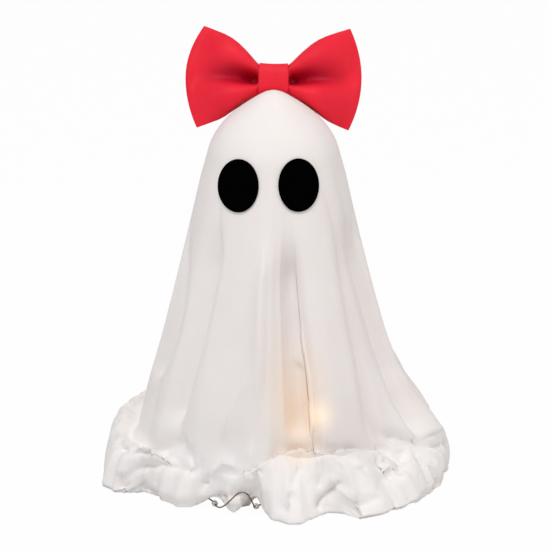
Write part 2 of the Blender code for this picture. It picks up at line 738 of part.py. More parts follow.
def make_tray(sizes, material):
    """The body of the battery box: the cell bay open at the back of the ghost, the switch bay below."""
    half = 0.5 * sizes["width"]
    rim = sizes["front"] + DOOR_THICKNESS + GAP
    body = add_object("battery_box", span_box((-half, sizes["back"], sizes["foot"]),
                                              (half, rim, sizes["top"])), material)
    bevel = body.modifiers.new("round_corners", "BEVEL")
    bevel.width = BOX_CORNER
    bevel.segments = BOX_CORNER_STEPS
    bevel.limit_method = "ANGLE"
    inner = 0.5 * sizes["inner_width"]
    bay = span_box((-inner, sizes["bay_back"], sizes["bay_floor"]),
                   (inner, rim + CUT_OVERRUN, sizes["bay_roof"]))
    cut(body, add_object("cell_bay_cutter", bay, material))
    tongue = inner + DOOR_TONGUE
    slot = span_box((-tongue, sizes["front"], sizes["bay_floor"] - GAP),
                    (tongue, sizes["front"] + DOOR_THICKNESS, sizes["top"] + CUT_OVERRUN))
    cut(body, add_object("door_slot_cutter", slot, material))
    opening = inner + GAP
    mouth = span_box((-opening, sizes["front"] - GAP, sizes["bay_roof"] - GAP),
                     (opening, rim + CUT_OVERRUN, sizes["top"] + CUT_OVERRUN))
    cut(body, add_object("door_mouth_cutter", mouth, material))
    cut(body, add_object("switch_bay_cutter", switch_bay(sizes, inner), material))
    cut(body, add_object("knob_slot_cutter", knob_slot(sizes, rim), material))
    cut(body, add_object("wire_hole_cutter", wire_hole(sizes), material))


def switch_bay(sizes, inner):
    """The closed space that holds the switch."""
    floor = sizes["foot"] + BOX_WALL
    return span_box((-inner, sizes["bay_back"], floor),
                    (inner, sizes["front"], floor + SWITCH_BAY_HEIGHT))


def knob_slot(sizes, rim):
    """The slot that the knob slides in."""
    middle = sizes["foot"] + BOX_WALL + 0.5 * SWITCH_BAY_HEIGHT
    reach = 0.5 * KNOB_WIDTH + GAP
    rise = 0.5 * KNOB_HEIGHT + GAP
    return span_box((-reach - 0.5 * KNOB_TRAVEL, sizes["front"] - CUT_OVERRUN, middle - rise),
                    (reach + 0.5 * KNOB_TRAVEL, rim + CUT_OVERRUN, middle + rise))


def wire_hole(sizes):
    """The hole in the roof of the box for the wire."""
    reach = WIRE_RADIUS + EXIT_CLEARANCE
    high = BOX_WALL + CUT_OVERRUN
    builder = lathe(((0.0, -CUT_OVERRUN), (reach, -CUT_OVERRUN), (reach, high), (0.0, high)), EXIT_SEGMENTS)
    bmesh.ops.translate(builder, vec=(*WIRE_EXIT, sizes["bay_roof"]), verts=builder.verts)
    return builder


def make_door(sizes, material):
    """The door, with its tongues in the slots of the box and ribs to push it up by."""
    tongue = 0.5 * sizes["inner_width"] + DOOR_TONGUE - GAP
    face = 0.5 * sizes["inner_width"] - GAP
    low = sizes["bay_floor"]
    high = sizes["top"]
    back = sizes["front"] + GAP
    front = sizes["front"] + DOOR_THICKNESS - GAP
    outer = sizes["front"] + DOOR_THICKNESS + GAP
    outline = [(-tongue, back), (tongue, back), (tongue, front), (face, front), (face, outer)]
    ribs = 2 * DOOR_GRIP_RIBS + 1
    rib_width = 2 * face / ribs
    for rib in range(ribs):
        reach = outer + (DOOR_GRIP_RIB if rib % 2 else 0.0)
        outline.append((face - rib * rib_width, reach))
        outline.append((face - (rib + 1) * rib_width, reach))
    outline = outline[:5] + outline[6:-1] + [(-face, outer), (-face, front), (-tongue, front)]
    builder = bmesh.new()
    bottom = [builder.verts.new((across, depth, low)) for across, depth in outline]
    face_below = builder.faces.new(bottom)
    risen = bmesh.ops.extrude_face_region(builder, geom=[face_below])
    raised = [item for item in risen["geom"] if isinstance(item, bmesh.types.BMVert)]
    bmesh.ops.translate(builder, vec=(0.0, 0.0, high - low), verts=raised)
    return add_object("battery_door", builder, material)


def make_cells(sizes, material):
    """The two cells, one each way up."""
    offset = CELL_RADIUS + 0.5 * BAY_CLEARANCE
    depth = sizes["bay_back"] + BAY_CLEARANCE + CELL_RADIUS
    inner = CELL_RADIUS - CELL_EDGE
    profile = ((0.0, 0.0), (inner, 0.0), (CELL_RADIUS, CELL_EDGE), (CELL_RADIUS, CELL_LENGTH - CELL_EDGE),
               (inner, CELL_LENGTH), (CELL_NUB_RADIUS, CELL_LENGTH),
               (CELL_NUB_RADIUS, CELL_LENGTH + CELL_NUB_LENGTH), (0.0, CELL_LENGTH + CELL_NUB_LENGTH))
    low = sizes["bay_floor"] + GAP + CONTACT_THICKNESS + GAP
    high = sizes["bay_roof"] - GAP - CONTACT_THICKNESS - GAP
    upright = lathe(profile, CELL_SEGMENTS)
    bmesh.ops.translate(upright, vec=(-offset, depth, high - CELL_LENGTH - CELL_NUB_LENGTH),
                        verts=upright.verts)
    add_object("cell_left", upright, material)
    turned = lathe(profile, CELL_SEGMENTS)
    bmesh.ops.rotate(turned, cent=(0.0, 0.0, 0.0), matrix=Matrix.Rotation(math.pi, 3, "X"),
                     verts=turned.verts)
    bmesh.ops.translate(turned, vec=(offset, depth, low + CELL_LENGTH + CELL_NUB_LENGTH),
                        verts=turned.verts)
    add_object("cell_right", turned, material)
    return offset, depth, low, high


def make_contacts(sizes, offset, depth, material):
    """The link plate under the cells and the two terminals above them."""
    half = 0.5 * CONTACT_SIZE
    floor = sizes["bay_floor"] + GAP
    roof = sizes["bay_roof"] - GAP
    plates = {
        "contact_link": ((-offset - half, depth - half, floor),
                         (offset + half, depth + half, floor + CONTACT_THICKNESS)),
        "contact_positive": ((-offset - half, depth - half, roof - CONTACT_THICKNESS),
                             (-offset + half, depth + half, roof)),
        "contact_negative": ((offset - half, depth - half, roof - CONTACT_THICKNESS),
                             (offset + half, depth + half, roof))}
    for name, (low, high) in plates.items():
        add_object(name, span_box(low, high), material)


def make_spring(name, across, depth, foot, material):
    """A contact spring as one unbroken wire."""
    radius = SPRING_RADIUS
    points = []
    climb = SPRING_LENGTH - SPRING_WIRE
    count = SPRING_CURLS * POINTS_A_CURL
    for step in range(count + 1):
        share = step / count
        turn = 2 * math.pi * SPRING_CURLS * share
        points.append((across + radius * math.cos(turn), depth + radius * math.sin(turn),
                       foot + 0.5 * SPRING_WIRE + climb * share))
    add_tube(name, points, 0.5 * SPRING_WIRE, 1, material)
    return points


def make_switch(sizes, metal, plastic):
    """The slide switch in its bay and the knob that shows through the slot."""
    floor = sizes["foot"] + BOX_WALL
    middle = floor + 0.5 * SWITCH_BAY_HEIGHT
    body_front = sizes["front"] - GAP
    body = span_box((-0.5 * SWITCH_WIDTH, body_front - SWITCH_DEPTH, floor + GAP),
                    (0.5 * SWITCH_WIDTH, body_front - GAP, floor + GAP + SWITCH_HEIGHT))
    add_object("switch_body", body, metal)
    rim = sizes["front"] + DOOR_THICKNESS + GAP
    low = Vector((-0.5 * KNOB_WIDTH, body_front, middle - 0.5 * KNOB_HEIGHT))
    high = Vector((0.5 * KNOB_WIDTH, rim + KNOB_REACH, middle + 0.5 * KNOB_HEIGHT))
    place = Vector((-0.5 * KNOB_TRAVEL, 0.5 * (low.y + high.y), middle))
    origin = Vector((0.0, place.y, place.z))
    add_object("switch_knob", span_box(low - origin, high - origin), plastic, place)


def make_tape(sizes, material):
    """The foam tape between the box and the post, hollowed to fit the post."""
    low = sizes["foot"] + TAPE_END_SHARE * (sizes["top"] - sizes["foot"])
    high = sizes["top"] - TAPE_END_SHARE * (sizes["top"] - sizes["foot"])
    tape = add_object("foam_tape", span_box((-0.5 * TAPE_WIDTH, TAPE_REACH_SHARE * POST_RADIUS, low),
                                            (0.5 * TAPE_WIDTH, sizes["back"] - GAP, high)), material)
    reach = POST_RADIUS + GAP
    above = sizes["top"] + CUT_OVERRUN
    core = lathe(((0.0, 0.0), (reach, 0.0), (reach, above), (0.0, above)), ROUND_SEGMENTS)
    cut(tape, add_object("post_cutter", core, material))


# The light string

def winding_points(sizes):
    """The wire from the roof of the box onto the post and up it."""
    exit_radius = math.hypot(*WIRE_EXIT)
    exit_turn = math.atan2(WIRE_EXIT[1], WIRE_EXIT[0])
    wound_radius = POST_RADIUS + GAP + WIRE_RADIUS
    start = sizes["bay_roof"] + GAP
    rise = BOX_WALL + EXIT_RISE
    end_turn = math.radians(WINDING_END_BEARING - 90.0)
    turns = WINDING_TURNS + ((end_turn - exit_turn) / (2 * math.pi)) % 1.0
    points = [Vector((*WIRE_EXIT, start)), Vector((*WIRE_EXIT, start + 0.5 * rise))]
    count = round(turns * POINTS_A_LOOP)
    for step in range(count + 1):
        turned = turns * step / count
        lead = min(1.0, turned / WINDING_LEAD_IN)
        ease = lead * lead * (3.0 - 2.0 * lead)
        radius = mix(exit_radius, wound_radius, ease)
        angle = exit_turn + 2 * math.pi * turned
        points.append(Vector((radius * math.cos(angle), radius * math.sin(angle),
                              start + rise + WINDING_PITCH * turned)))
    return points


def smooth_route(controls, count):
    """Evenly spaced points on a smooth curve through the route's own points."""
    fine = []
    padded = [2 * controls[0] - controls[1]] + list(controls) + [2 * controls[-1] - controls[-2]]
    for a, b, c, d in zip(padded, padded[1:], padded[2:], padded[3:]):
        for step in range(ROUTE_STEPS):
            t = step / ROUTE_STEPS
            fine.append(0.5 * ((2 * b) + (c - a) * t + (2 * a - 5 * b + 4 * c - d) * t * t
                               + (3 * b - a - 3 * c + d) * t * t * t))
    fine.append(controls[-1])
    lengths = [0.0]
    for first, second in zip(fine, fine[1:]):
        lengths.append(lengths[-1] + (second - first).length)
    table = list(zip(lengths, fine))
    return [read_table(table, lengths[-1] * step / (count - 1)) for step in range(count)], lengths[-1]


def string_points(winding):
    """The loose stretch, which carries on from the end of the winding."""
    along = (winding[-1] - winding[-2]).normalized()
    start = winding[-1] + along * GAP
    controls = [start, start + along * STRING_LEAD] + [Vector(point) for point in STRING_ROUTE]
    return smooth_route(controls, STRING_POINTS)


def least_self_gap(points, radius, skip):
    """The least clear gap between a tube's turns."""
    least = math.inf
    for index, point in enumerate(points):
        for other in points[index + skip:]:
            least = min(least, (point - other).length)
    return least - 2 * radius


def lamp_profile():
    """The drop of clear resin round the wire, with a bore for it."""
    bore = WIRE_RADIUS + GAP
    half = 0.5 * LAMP_LENGTH
    profile = [(bore, -half)]
    for step in range(1, LAMP_STEPS):
        turn = math.pi * step / LAMP_STEPS
        profile.append((bore + (LAMP_RADIUS - bore) * math.sin(turn), -half * math.cos(turn)))
    profile.append((bore, half))
    return profile + [profile[0]]


def make_lamps(points, length, material):
    """The lamps along the loose stretch, each on a straight piece of the wire."""
    spacing = length / (len(points) - 1)
    count = int((length - FIRST_LAMP) / LAMP_SPACING) + 1
    for lamp in range(count):
        segment = min(len(points) - 2, round((FIRST_LAMP + lamp * LAMP_SPACING) / spacing))
        first, second = points[segment], points[segment + 1]
        builder = bmesh.new()
        rings = []
        for radius, height in lamp_profile()[:-1]:
            turns = [2 * math.pi * step / LAMP_SEGMENTS for step in range(LAMP_SEGMENTS)]
            rings.append([builder.verts.new((radius * math.cos(turn), radius * math.sin(turn), height))
                          for turn in turns])
        for upper, lower in zip(rings, rings[1:] + rings[:1]):
            join_rings(builder, upper, lower)
        facing = (second - first).to_track_quat("Z", "Y").to_matrix().to_4x4()
        place = Matrix.Translation(0.5 * (first + second)) @ facing
        bmesh.ops.transform(builder, matrix=place, verts=builder.verts)
        add_object(f"lamp_{lamp + 1:02d}", builder, material)


def make_lights(sizes, wire, resin):
    """The winding, the loose stretch and its lamps."""
    winding = winding_points(sizes)
    add_tube("light_winding", winding, WIRE_RADIUS, 1, wire)
    gap = least_self_gap(winding, WIRE_RADIUS, POINTS_A_LOOP // 2)
    print(f"winding: least gap to itself {gap * 1000:.2f} mm")
    points, length = string_points(winding)
    add_tube("light_string", points, WIRE_RADIUS, 2, wire)
    print(f"light string: loose stretch {length * 1000:.0f} mm")
    make_lamps(points, length, resin)


def make_stand():
    """Board, post and head."""
    make_board(make_material("beech", (0.62, 0.44, 0.26), 0.55))
    make_post(make_material("dowel", (0.70, 0.53, 0.33), 0.6))
    make_head(make_material("foam", (0.88, 0.88, 0.86), 0.85))


def make_battery_box(sizes):
    """Box, door, cells, contacts, springs, switch and tape."""
    shell = make_material("box_plastic", (0.80, 0.80, 0.78), 0.4)
    make_tray(sizes, shell)
    make_door(sizes, make_material("door_plastic", (0.76, 0.76, 0.74), 0.4))
    offset, depth, low, high = make_cells(sizes, make_material("cell_jacket", (0.10, 0.20, 0.12), 0.35))
    steel = make_material("nickel_steel", (0.72, 0.72, 0.70), 0.3, 1.0)
    make_contacts(sizes, offset, depth, steel)
    points = make_spring("spring_left", -offset, depth, low, steel)
    make_spring("spring_right", offset, depth, high - SPRING_LENGTH, steel)
    curls = [Vector(point) for point in points]
    gap = least_self_gap(curls, 0.5 * SPRING_WIRE, POINTS_A_CURL // 2)
    print(f"spring: least gap to itself {gap * 1000:.2f} mm")
    make_switch(sizes, steel, make_material("knob_plastic", (0.03, 0.03, 0.03), 0.45))
    make_tape(sizes, make_material("tape_foam", (0.85, 0.85, 0.82), 0.9))


def main():
    """Build the ornament."""
    clear_scene()
    make_stand()
    sizes = box_sizes()
    make_battery_box(sizes)
    make_lights(sizes, make_material("copper_wire", (0.55, 0.33, 0.18), 0.35, 1.0),
                make_material("clear_resin", (0.95, 0.80, 0.55), 0.15))
    tree = make_cover(make_material("white_cloth", (0.90, 0.89, 0.87), 0.7))
    make_eyes(tree, make_material("black_felt", (0.004, 0.004, 0.004), 0.9))
    frame = bow_frame(tree)
    satin = make_material("red_satin", (0.75, 0.04, 0.06), 0.4)
    make_bow(tree, frame, satin)
    make_band(frame, make_material("band_satin", (0.70, 0.03, 0.055), 0.4))
    make_pad(tree, frame, make_material("glue", (0.80, 0.78, 0.70), 0.3))


main()
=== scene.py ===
import math

import bmesh
import bpy
from mathutils import Matrix, Vector
from mathutils.bvhtree import BVHTree
from mathutils.kdtree import KDTree


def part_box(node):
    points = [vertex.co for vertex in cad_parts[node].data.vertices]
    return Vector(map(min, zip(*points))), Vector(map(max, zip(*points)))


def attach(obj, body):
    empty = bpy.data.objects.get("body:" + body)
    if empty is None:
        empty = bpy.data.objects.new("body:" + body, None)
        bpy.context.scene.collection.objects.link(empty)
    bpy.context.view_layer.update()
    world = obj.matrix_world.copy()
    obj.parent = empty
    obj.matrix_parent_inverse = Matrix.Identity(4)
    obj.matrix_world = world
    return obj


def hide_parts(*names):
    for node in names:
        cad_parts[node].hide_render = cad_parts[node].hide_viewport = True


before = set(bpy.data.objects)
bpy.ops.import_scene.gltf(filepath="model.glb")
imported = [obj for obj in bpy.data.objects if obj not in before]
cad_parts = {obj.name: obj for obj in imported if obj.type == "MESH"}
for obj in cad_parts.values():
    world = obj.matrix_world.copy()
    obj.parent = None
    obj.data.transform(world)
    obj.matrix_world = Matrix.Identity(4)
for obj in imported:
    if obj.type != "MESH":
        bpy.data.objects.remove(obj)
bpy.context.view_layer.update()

# Ghost tabletop ornament. Metres, the table is z = 0, the post stands on the origin and the face
# looks along -Y. Bearings are degrees round the post, from the front towards the right (+X).

# The photograph's view
PIXEL = 0.000723
PHOTO_MIDDLE = 273.5
PHOTO_TABLE_LINE = 470.0
VIEW_ELEVATION = 18.0
VIEW_TARGET = (0.0014, 0.0, 0.1480)
VIEW_DISTANCE = 6.0
SENSOR_WIDTH = 36.0
PHOTO_WIDTH = 551
TILT = math.radians(VIEW_ELEVATION)
TOWARD_VIEWER = Vector((0.0, -math.cos(TILT), math.sin(TILT)))
UP_IN_VIEW = Vector((0.0, math.sin(TILT), math.cos(TILT)))

# Studio light
SOFT_LIGHT = 0.52
FLOOR_WHITE = 0.97
FLOOR_SIZE = 6.0
# name, place, what it is aimed at, size, power, colour
LIGHTS = (
    ("key_light", (-0.70, -1.05, 1.25), (0.0, 0.0, 0.15), 0.5, 2.4, (0.93, 0.97, 1.0)),
    ("fill_light", (1.25, -0.60, 0.80), (0.0, 0.0, 0.12), 0.6, 2.2, (1.0, 0.90, 0.82)),
    ("top_light", (-0.12, -0.62, 1.60), (0.0, -0.03, 0.06), 0.5, 9.0, (1.0, 0.985, 0.98)))

# Cloth cover: the drape line as shares of its radius and height
COVER_HEIGHT = 0.2880
SKIRT_RADIUS = 0.0970
CLOTH_THICKNESS = 0.0008
DRAPE_SHARES = (
    (0.000, 1.000), (0.075, 0.992), (0.165, 0.973), (0.260, 0.950), (0.345, 0.925), (0.415, 0.896),
    (0.470, 0.862), (0.500, 0.826), (0.530, 0.790), (0.593, 0.712), (0.711, 0.556), (0.835, 0.396),
    (0.950, 0.250), (1.000, 0.122))
FOLD_START_SHARE = 0.78
FOLD_DEPTH = 0.0195
FOLD_POWER = 0.85

# Cloth cover: bearing at the head, bearing at the table and how deep the cloth lies there, as a
# share of the deepest fold
FOLD_SHARES = (
    (-96, -96, 0.45), (-84, -84, 0.20), (-72, -70, 0.25), (-60, -60, 0.05), (-43, -48, 0.30),
    (-32, -36, 0.05), (-16, -18, 0.12), (-8, -10, -0.05), (-2, -4, 0.10), (4, 4, 0.35),
    (10, 13, 0.65), (14, 18, 0.12), (22, 27, 0.00), (36, 42, 0.12), (44, 51, 0.25), (54, 60, 0.15),
    (67, 76, 0.35), (76, 85, 0.05), (98, 98, 0.65), (112, 111, 0.00), (128, 126, 0.80), (143, 141, 0.05),
    (160, 158, 0.60), (175, 175, 0.00), (192, 194, 0.85), (210, 210, 0.02), (228, 226, 0.70),
    (245, 244, 0.00))

# Cloth cover: the puffy roll of tucked surplus on the table
ROLL_RADIUS = 0.1260
ROLL_HEIGHT = 0.0440
ROLL_CREST_RADIUS = 0.1110
# how far the roll leans out from the skirt in one slope, instead of standing up as a puff
LEANS = (
    (-96, 0.10), (-66, 0.00), (-50, 0.10), (-14, 0.20), (-7, 0.65), (-1, 1.00), (34, 1.00), (44, 0.80),
    (56, 0.45), (72, 0.20), (96, 0.10), (128, 0.00), (190, 0.30), (246, 0.10))
CREST_SPREAD = (-18, -12, -6, 0, 6, 12, 18)
ROLL_BELLY_SHARE = 0.15
HEM_SETBACK = 0.0025
HEM_EDGE_RADIUS = 0.0885
TABLE_GAP = 0.0004
ROLL_OUTLINE = (
    (-96, 0.97), (-83.5, 0.98), (-72, 1.03), (-65, 1.02), (-62, 0.97), (-60, 0.86), (-53, 0.85),
    (-45, 0.88), (-39, 0.89), (-35, 0.86), (-32, 0.79), (-24, 0.79), (-17, 0.83), (-11, 0.82),
    (-7, 0.77), (-3, 0.84), (1, 0.93), (6, 0.99), (9, 0.99), (13, 0.93), (18, 0.88), (22, 0.85),
    (25, 0.88), (29, 1.02), (36, 1.03), (45, 1.02), (55, 1.03), (64, 1.01), (72, 1.01), (94, 1.00),
    (112, 0.96), (128, 1.01), (150, 0.96), (170, 1.02), (192, 0.95), (212, 1.01), (234, 0.95))
ROLL_HEIGHTS = (
    (-96, 0.95), (-80, 0.80), (-60, 0.85), (-46, 0.96), (-36, 1.00), (-24, 0.84), (-16, 0.72),
    (-8, 0.84), (0, 0.98), (18, 1.00), (34, 0.98), (46, 0.86), (56, 0.70), (66, 0.74), (74, 0.94),
    (84, 0.98), (96, 0.86), (110, 0.85), (150, 1.00), (192, 0.82), (226, 0.95), (254, 1.00))
ARCHES = ((-9.0, 8.0, 0.0110), (-25.5, 10.0, 0.0080))
WIRE_PASSES = ((-7.0, 5.0, 0.0085), (-27.5, 7.0, 0.0080))

# Cloth cover: the roll's line between skirt and hem where it is puffed up, where the skirt flares
# into it and where the cloth flows down, as shares of the way there and as heights
CREST_REACH_SHARE = 0.55
LEANING_CREST_STEP = 0.0030
PUFF_NEAR_SHARE = 0.30
PUFF_NEAR_HEIGHTS = (0.88, 0.98)
PUFF_DIP = 0.003
PUFF_FALL_SHARES = (0.62, 0.56)
PUFF_FALL_DROPS = (0.30, 0.46)
PUFF_TURN_SHARE = 0.35
FOOT_SHARE = 0.66
BELLY_CLEARANCE = 0.006
EDGE_CLEARANCE = 0.003
FLARED_SPOTS = ((0.45, 0.0300), (0.75, 0.0250))
FLARED_DROP = (0.0190, 0.0120)
FLARED_TURN = (0.45, 0.0060)
FLOWING_LEAST = 0.010
FLOWING_CLEARANCE = 0.004
FLOWING_SHARES = (0.25, 0.50, 0.78)
TUCK_SHARE = 0.6
# waves round the whole roll, their size and their phase
GATHERS = ((17, 0.6, 0.4), (29, 0.5, 1.9), (43, 0.35, 4.1), (61, 0.22, 2.7))
GATHER_DEPTH = 0.0011
GATHER_END_SHARE = 0.8
GATHER_PACE = 1.25
GATHER_POWER = 0.6

# Cloth cover: where the skirt flares straight into the roll, and where it flows down without one
FLARE_LINE = ((0.035, 0.0285), (0.046, 0.0225), (0.064, 0.0100), (0.085, 0.0025), (0.110, 0.0004),
              (0.140, 0.0000))
FLARES = (
    (-96, 0.15), (-80, 0.20), (-62, 0.12), (-45, 0.00), (48, 0.00), (60, 0.25), (70, 0.70), (80, 0.95),
    (96, 1.00), (110, 0.85), (126, 0.30), (146, 0.60), (172, 0.05), (200, 0.45), (228, 0.10),
    (246, 0.20))
FLOWS = (
    (-96, 0.00), (-58, 0.05), (-50, 0.55), (-42, 0.90), (-32, 1.00), (-22, 0.85), (-13, 0.50),
    (-5, 0.12), (3, 0.00), (48, 0.00), (56, 0.45), (62, 0.55), (68, 0.20), (76, 0.00))
FRONT_BEARING = 100.0
FRONT_COLUMNS = 250
BACK_COLUMNS = 56
SKIRT_ROWS = 74
ROLL_ROWS = 76
WOVEN_ROUND = 0.6
WOVEN_ROW = 0.0027
CLOTH_EASE = 0.15

# Cloth cover: where the front lamp shines through, where its haze lies and how tall it is, and the
# heights between which the painted light that whitens the roll fades out
LAMP_SPOT = (0.0320, -0.0860, 0.0700)
HAZE_SHIFT = (-0.0165, 0.0800, -0.0330)
HAZE_SQUASH = 0.44
ROLL_PAINTED_LIGHT_HEIGHTS = (0.030, 0.058)

# Cloth cover: where the photograph shows the cloth folded over, as photo points, how deep the cloth
# goes in there (below nothing where it stands up), and how far the fold reaches to the left and to
# the right of the line as one walks along it
SEEN_CREASES = (
    (((118, 438), (127, 454)), 0.0049, 0.0025, 0.0035),
    (((125, 455), (146, 452), (167, 448), (190, 441)), 0.0044, 0.0060, 0.0020),
    (((124, 473), (147, 467), (165, 464), (187, 466), (198, 476)), 0.0046, 0.0042, 0.0022),
    (((167, 447), (166, 465)), 0.0029, 0.0030, 0.0020),
    (((123, 470), (122, 484), (125, 493)), 0.0060, 0.0026, 0.0030),
    (((192, 442), (190, 456), (196, 474)), 0.0034, 0.0034, 0.0022),
    (((139, 480), (162, 500)), 0.0042, 0.0018, 0.0050),
    (((201, 480), (210, 484)), 0.0081, 0.0035, 0.0035),
    (((223, 488), (223, 507)), 0.0055, 0.0018, 0.0034),
    (((209, 477), (223, 461), (233, 463), (238, 472)), -0.0034, 0.0038, 0.0038),
    (((253, 436), (247, 473), (257, 490)), -0.0034, 0.0030, 0.0030),
    (((225, 497), (240, 492), (255, 501)), 0.0065, 0.0040, 0.0040),
    (((259, 475), (280, 448), (287, 449), (303, 454), (317, 450), (330, 450), (353, 452),
      (364, 455), (380, 463), (398, 483)), 0.0044, 0.0060, 0.0020),
    (((300, 456), (298, 470), (291, 488)), 0.0026, 0.0022, 0.0030),
    (((318, 452), (322, 470), (318, 488)), 0.0023, 0.0030, 0.0020),
    (((330, 470), (338, 486), (357, 500)), -0.0031, 0.0030, 0.0040),
    (((294, 486), (280, 512)), 0.0049, 0.0034, 0.0016),
    (((344, 474), (320, 499), (320, 510)), 0.0062, 0.0034, 0.0020),
    (((352, 455), (367, 473), (371, 477)), -0.0031, 0.0026, 0.0026),
    (((384, 492), (357, 504), (357, 520)), 0.0047, 0.0018, 0.0034),
    (((400, 481), (402, 462), (405, 445)), 0.0042, 0.0048, 0.0022),
    (((411, 442), (421, 462), (434, 490)), 0.0042, 0.0042, 0.0015),
    (((372, 433), (390, 433), (407, 439), (449, 446)), 0.0052, 0.0018, 0.0062),
    (((375, 446), (379, 460), (391, 480)), 0.0034, 0.0060, 0.0050),
    (((388, 376), (415, 419), (447, 444)), 0.0016, 0.0034, 0.0034),
    (((219, 132), (218, 170), (219, 209), (219, 252), (209, 300), (198, 347), (186, 392), (177, 432)),
     0.0086, 0.0018, 0.0130),
    (((201, 170), (192, 210), (184, 250), (179, 300), (174, 331), (155, 381)), 0.0062, 0.0018, 0.0100),
    (((266, 205), (265, 240), (260, 292), (258, 355), (254, 425)), -0.0066, 0.0075, 0.0034),
    (((286, 212), (288, 250), (291, 300), (296, 360), (300, 442)), 0.0082, 0.0075, 0.0070),
    (((290, 200), (294, 233), (298, 276), (307, 347), (316, 419), (320, 462)), 0.0066, 0.0016, 0.0110),
    (((307, 136), (318, 170), (330, 212), (340, 252), (348, 300), (360, 363), (368, 416), (386, 472)),
     0.0088, 0.0130, 0.0018),
    (((323, 128), (335, 168), (346, 215), (356, 252), (368, 300), (381, 347), (399, 400), (424, 442)),
     0.0076, 0.0100, 0.0018),
    (((257, 362), (248, 381), (238, 398), (228, 420), (221, 446)), -0.0034, 0.0058, 0.0030),
    (((314, 307), (321, 309)), 0.0012, 0.0018, 0.0018),
    (((362, 407), (369, 410)), 0.0014, 0.0020, 0.0020),
    (((281, 110), (281.5, 130), (281, 152)), 0.0003, 0.0009, 0.0009),
)
CREASE_POWER = 1.2
CREASE_REACH = 3.0
CREASE_FACING = 2.5
CREASE_BACK = 0.03
CREASE_TAPER = 0.0050
CREASE_START_SHARE = 0.34
CREASE_END_SHARE = 0.08
RIDGE_END_SHARE = 0.30
CREASE_HEAD = (0.165, 0.205)
CREASE_HEAD_SHARE = 0.14

# Cloth cover: the simulation of the slack roll. Its rows are let go between the first two shares
# and held again between the last two.
SLACK_ROWS = (0.08, 0.30, 0.78, 0.90)
SLACK_FLOW_HOLD = 0.92
SLACK_CLOTH = {
    "quality": 4, "mass": 0.12, "tension_stiffness": 30.0, "compression_stiffness": 30.0,
    "shear_stiffness": 12.0, "bending_stiffness": 0.8, "shrink_min": -0.050,
    "vertex_group_mass": "held", "use_pressure": True, "uniform_pressure_force": 1.2}
SLACK_FRAMES = 16
SLACK_LIMIT = 0.0060

# Felt eyes
SEEN_EYES = {
    "felt_eye_left": ("eye_left", 239.3, 186.6),
    "felt_eye_right": ("eye_right", 297.8, 186.1)}
SEEN_EYE_WIDTH = 39.4
SEEN_EYE_HEIGHT = 52.6
EYE_STEPS = 40
FELT_THICKNESS = 0.0010
FELT_LIFT = 0.0004
FELT_BEVEL = {"width": 0.0003, "segments": 2, "limit_method": "ANGLE",
              "angle_limit": math.radians(50)}

# Bow
BOW_WIDTH = 0.1270
BOW_END_HEIGHT = 0.0740
BOW_WAIST_HEIGHT = 0.0174
BOW_WAIST_DEPTH = 0.0104
BOW_PUFF = 0.0125
BOW_EDGE = 0.0016
BOW_CORNER_SHARE = 0.86
UPPER_LEFT_CORNER_SHARE = 0.80
BOW_LEAN = 23.5
BOW_ROLL = 1.1
BOW_SINK = 0.0005
BOW_SWEEP = 0.0050
BOW_RISE = (
    (0.0, 0.0), (0.06, 0.075), (0.12, 0.17), (0.18, 0.27), (0.25, 0.38), (0.38, 0.56), (0.5, 0.69),
    (0.63, 0.79), (0.8, 0.89), (1.0, 1.0))
BOW_COLUMNS = 70
BOW_ROWS = 48
WOVEN_POCKET = 0.15
# how far the lower edge reaches down behind the crown, and to which share of the wing
BOW_DROP = 0.0070
BOW_DROP_SHARE = 0.80
# the pleat: its depth, its most as a share of the puff, its reach above and below at the waist and
# at the end, where it fades and starts, and from which share of its depth the satin is painted darker as
# shade
BOW_PLEAT = 0.0190
PLEAT_MOST = 1.85
PLEAT_ABOVE = (0.40, 0.50)
PLEAT_BELOW = (0.13, 0.34)
PLEAT_BOW = 0.10
PLEAT_FALL = 0.20
PLEAT_END_SHARE = 0.95
PLEAT_START_SHARE = 0.06
PLEAT_FADE_POWER = 0.7
PLEAT_POWER = 1.7
PLEAT_SHADE_FROM = 0.12
PLEAT_SHADE_SPAN = 0.50
PUFF_PACE = 1.1
PUFF_EDGE_POWERS = (2.6, 0.7)
# how the bow and its band bend round the crown: the middle that they are pressed from
PRESS_HEIGHT_SHARE = 0.812
PRESS_FORWARD = 0.0290
PRESS_GAP = 0.0009
PRESS_SOFTNESS = 0.0028
PRESS_FAR = 30.0
BAND_WIDTH = 0.0220
BAND_COLUMNS = 20
BAND_ROWS = 72
BAND_WALL = 0.0012
BAND_SOLID_SHARE = 0.8
BAND_SEAT = 0.0024
BAND_WAIST = 0.05
BAND_POWER = 2.0 / 3.0
WOVEN_BAND = 0.01
GAP = 0.0003
# where the pocket starts under the band, how near its middle it is pinched to nothing, and from
# where the grid's last row closes a ring
BOW_NECK = 0.5 * BAND_WIDTH * 0.9
NEAR_MIDDLE = 0.01
RING_END = 0.9999

# Light string
WIRE_RADIUS = 0.0005
STRING_START = (-0.0090, 0.0140)
POST_RADIUS = 0.0060

# Steps of a curve between two of its points, and how near two vertices are one
CURVE_STEPS = 24
MERGE = 0.00001


def mix(first, second, share):
    """The value a share of the way from the first to the second."""
    return first + (second - first) * share


def smooth(share):
    """A share eased at both ends."""
    share = min(1.0, max(0.0, share))
    return share * share * (3.0 - 2.0 * share)


def from_bearing(bearing, radius, height):
    """The point at a bearing, a radius and a height."""
    turn = math.radians(bearing)
    return Vector((radius * math.sin(turn), -radius * math.cos(turn), height))


def read_round(table, bearing):
    """Smooth reading of a table of (bearing, value) that closes on itself."""
    first = table[0][0]
    turned = first + (bearing - first) % 360
    closed = tuple(table) + ((first + 360, table[0][1]),)
    for (left, low), (right, high) in zip(closed, closed[1:]):
        if turned <= right:
            return mix(low, high, smooth((turned - left) / (right - left)))
    return table[0][1]


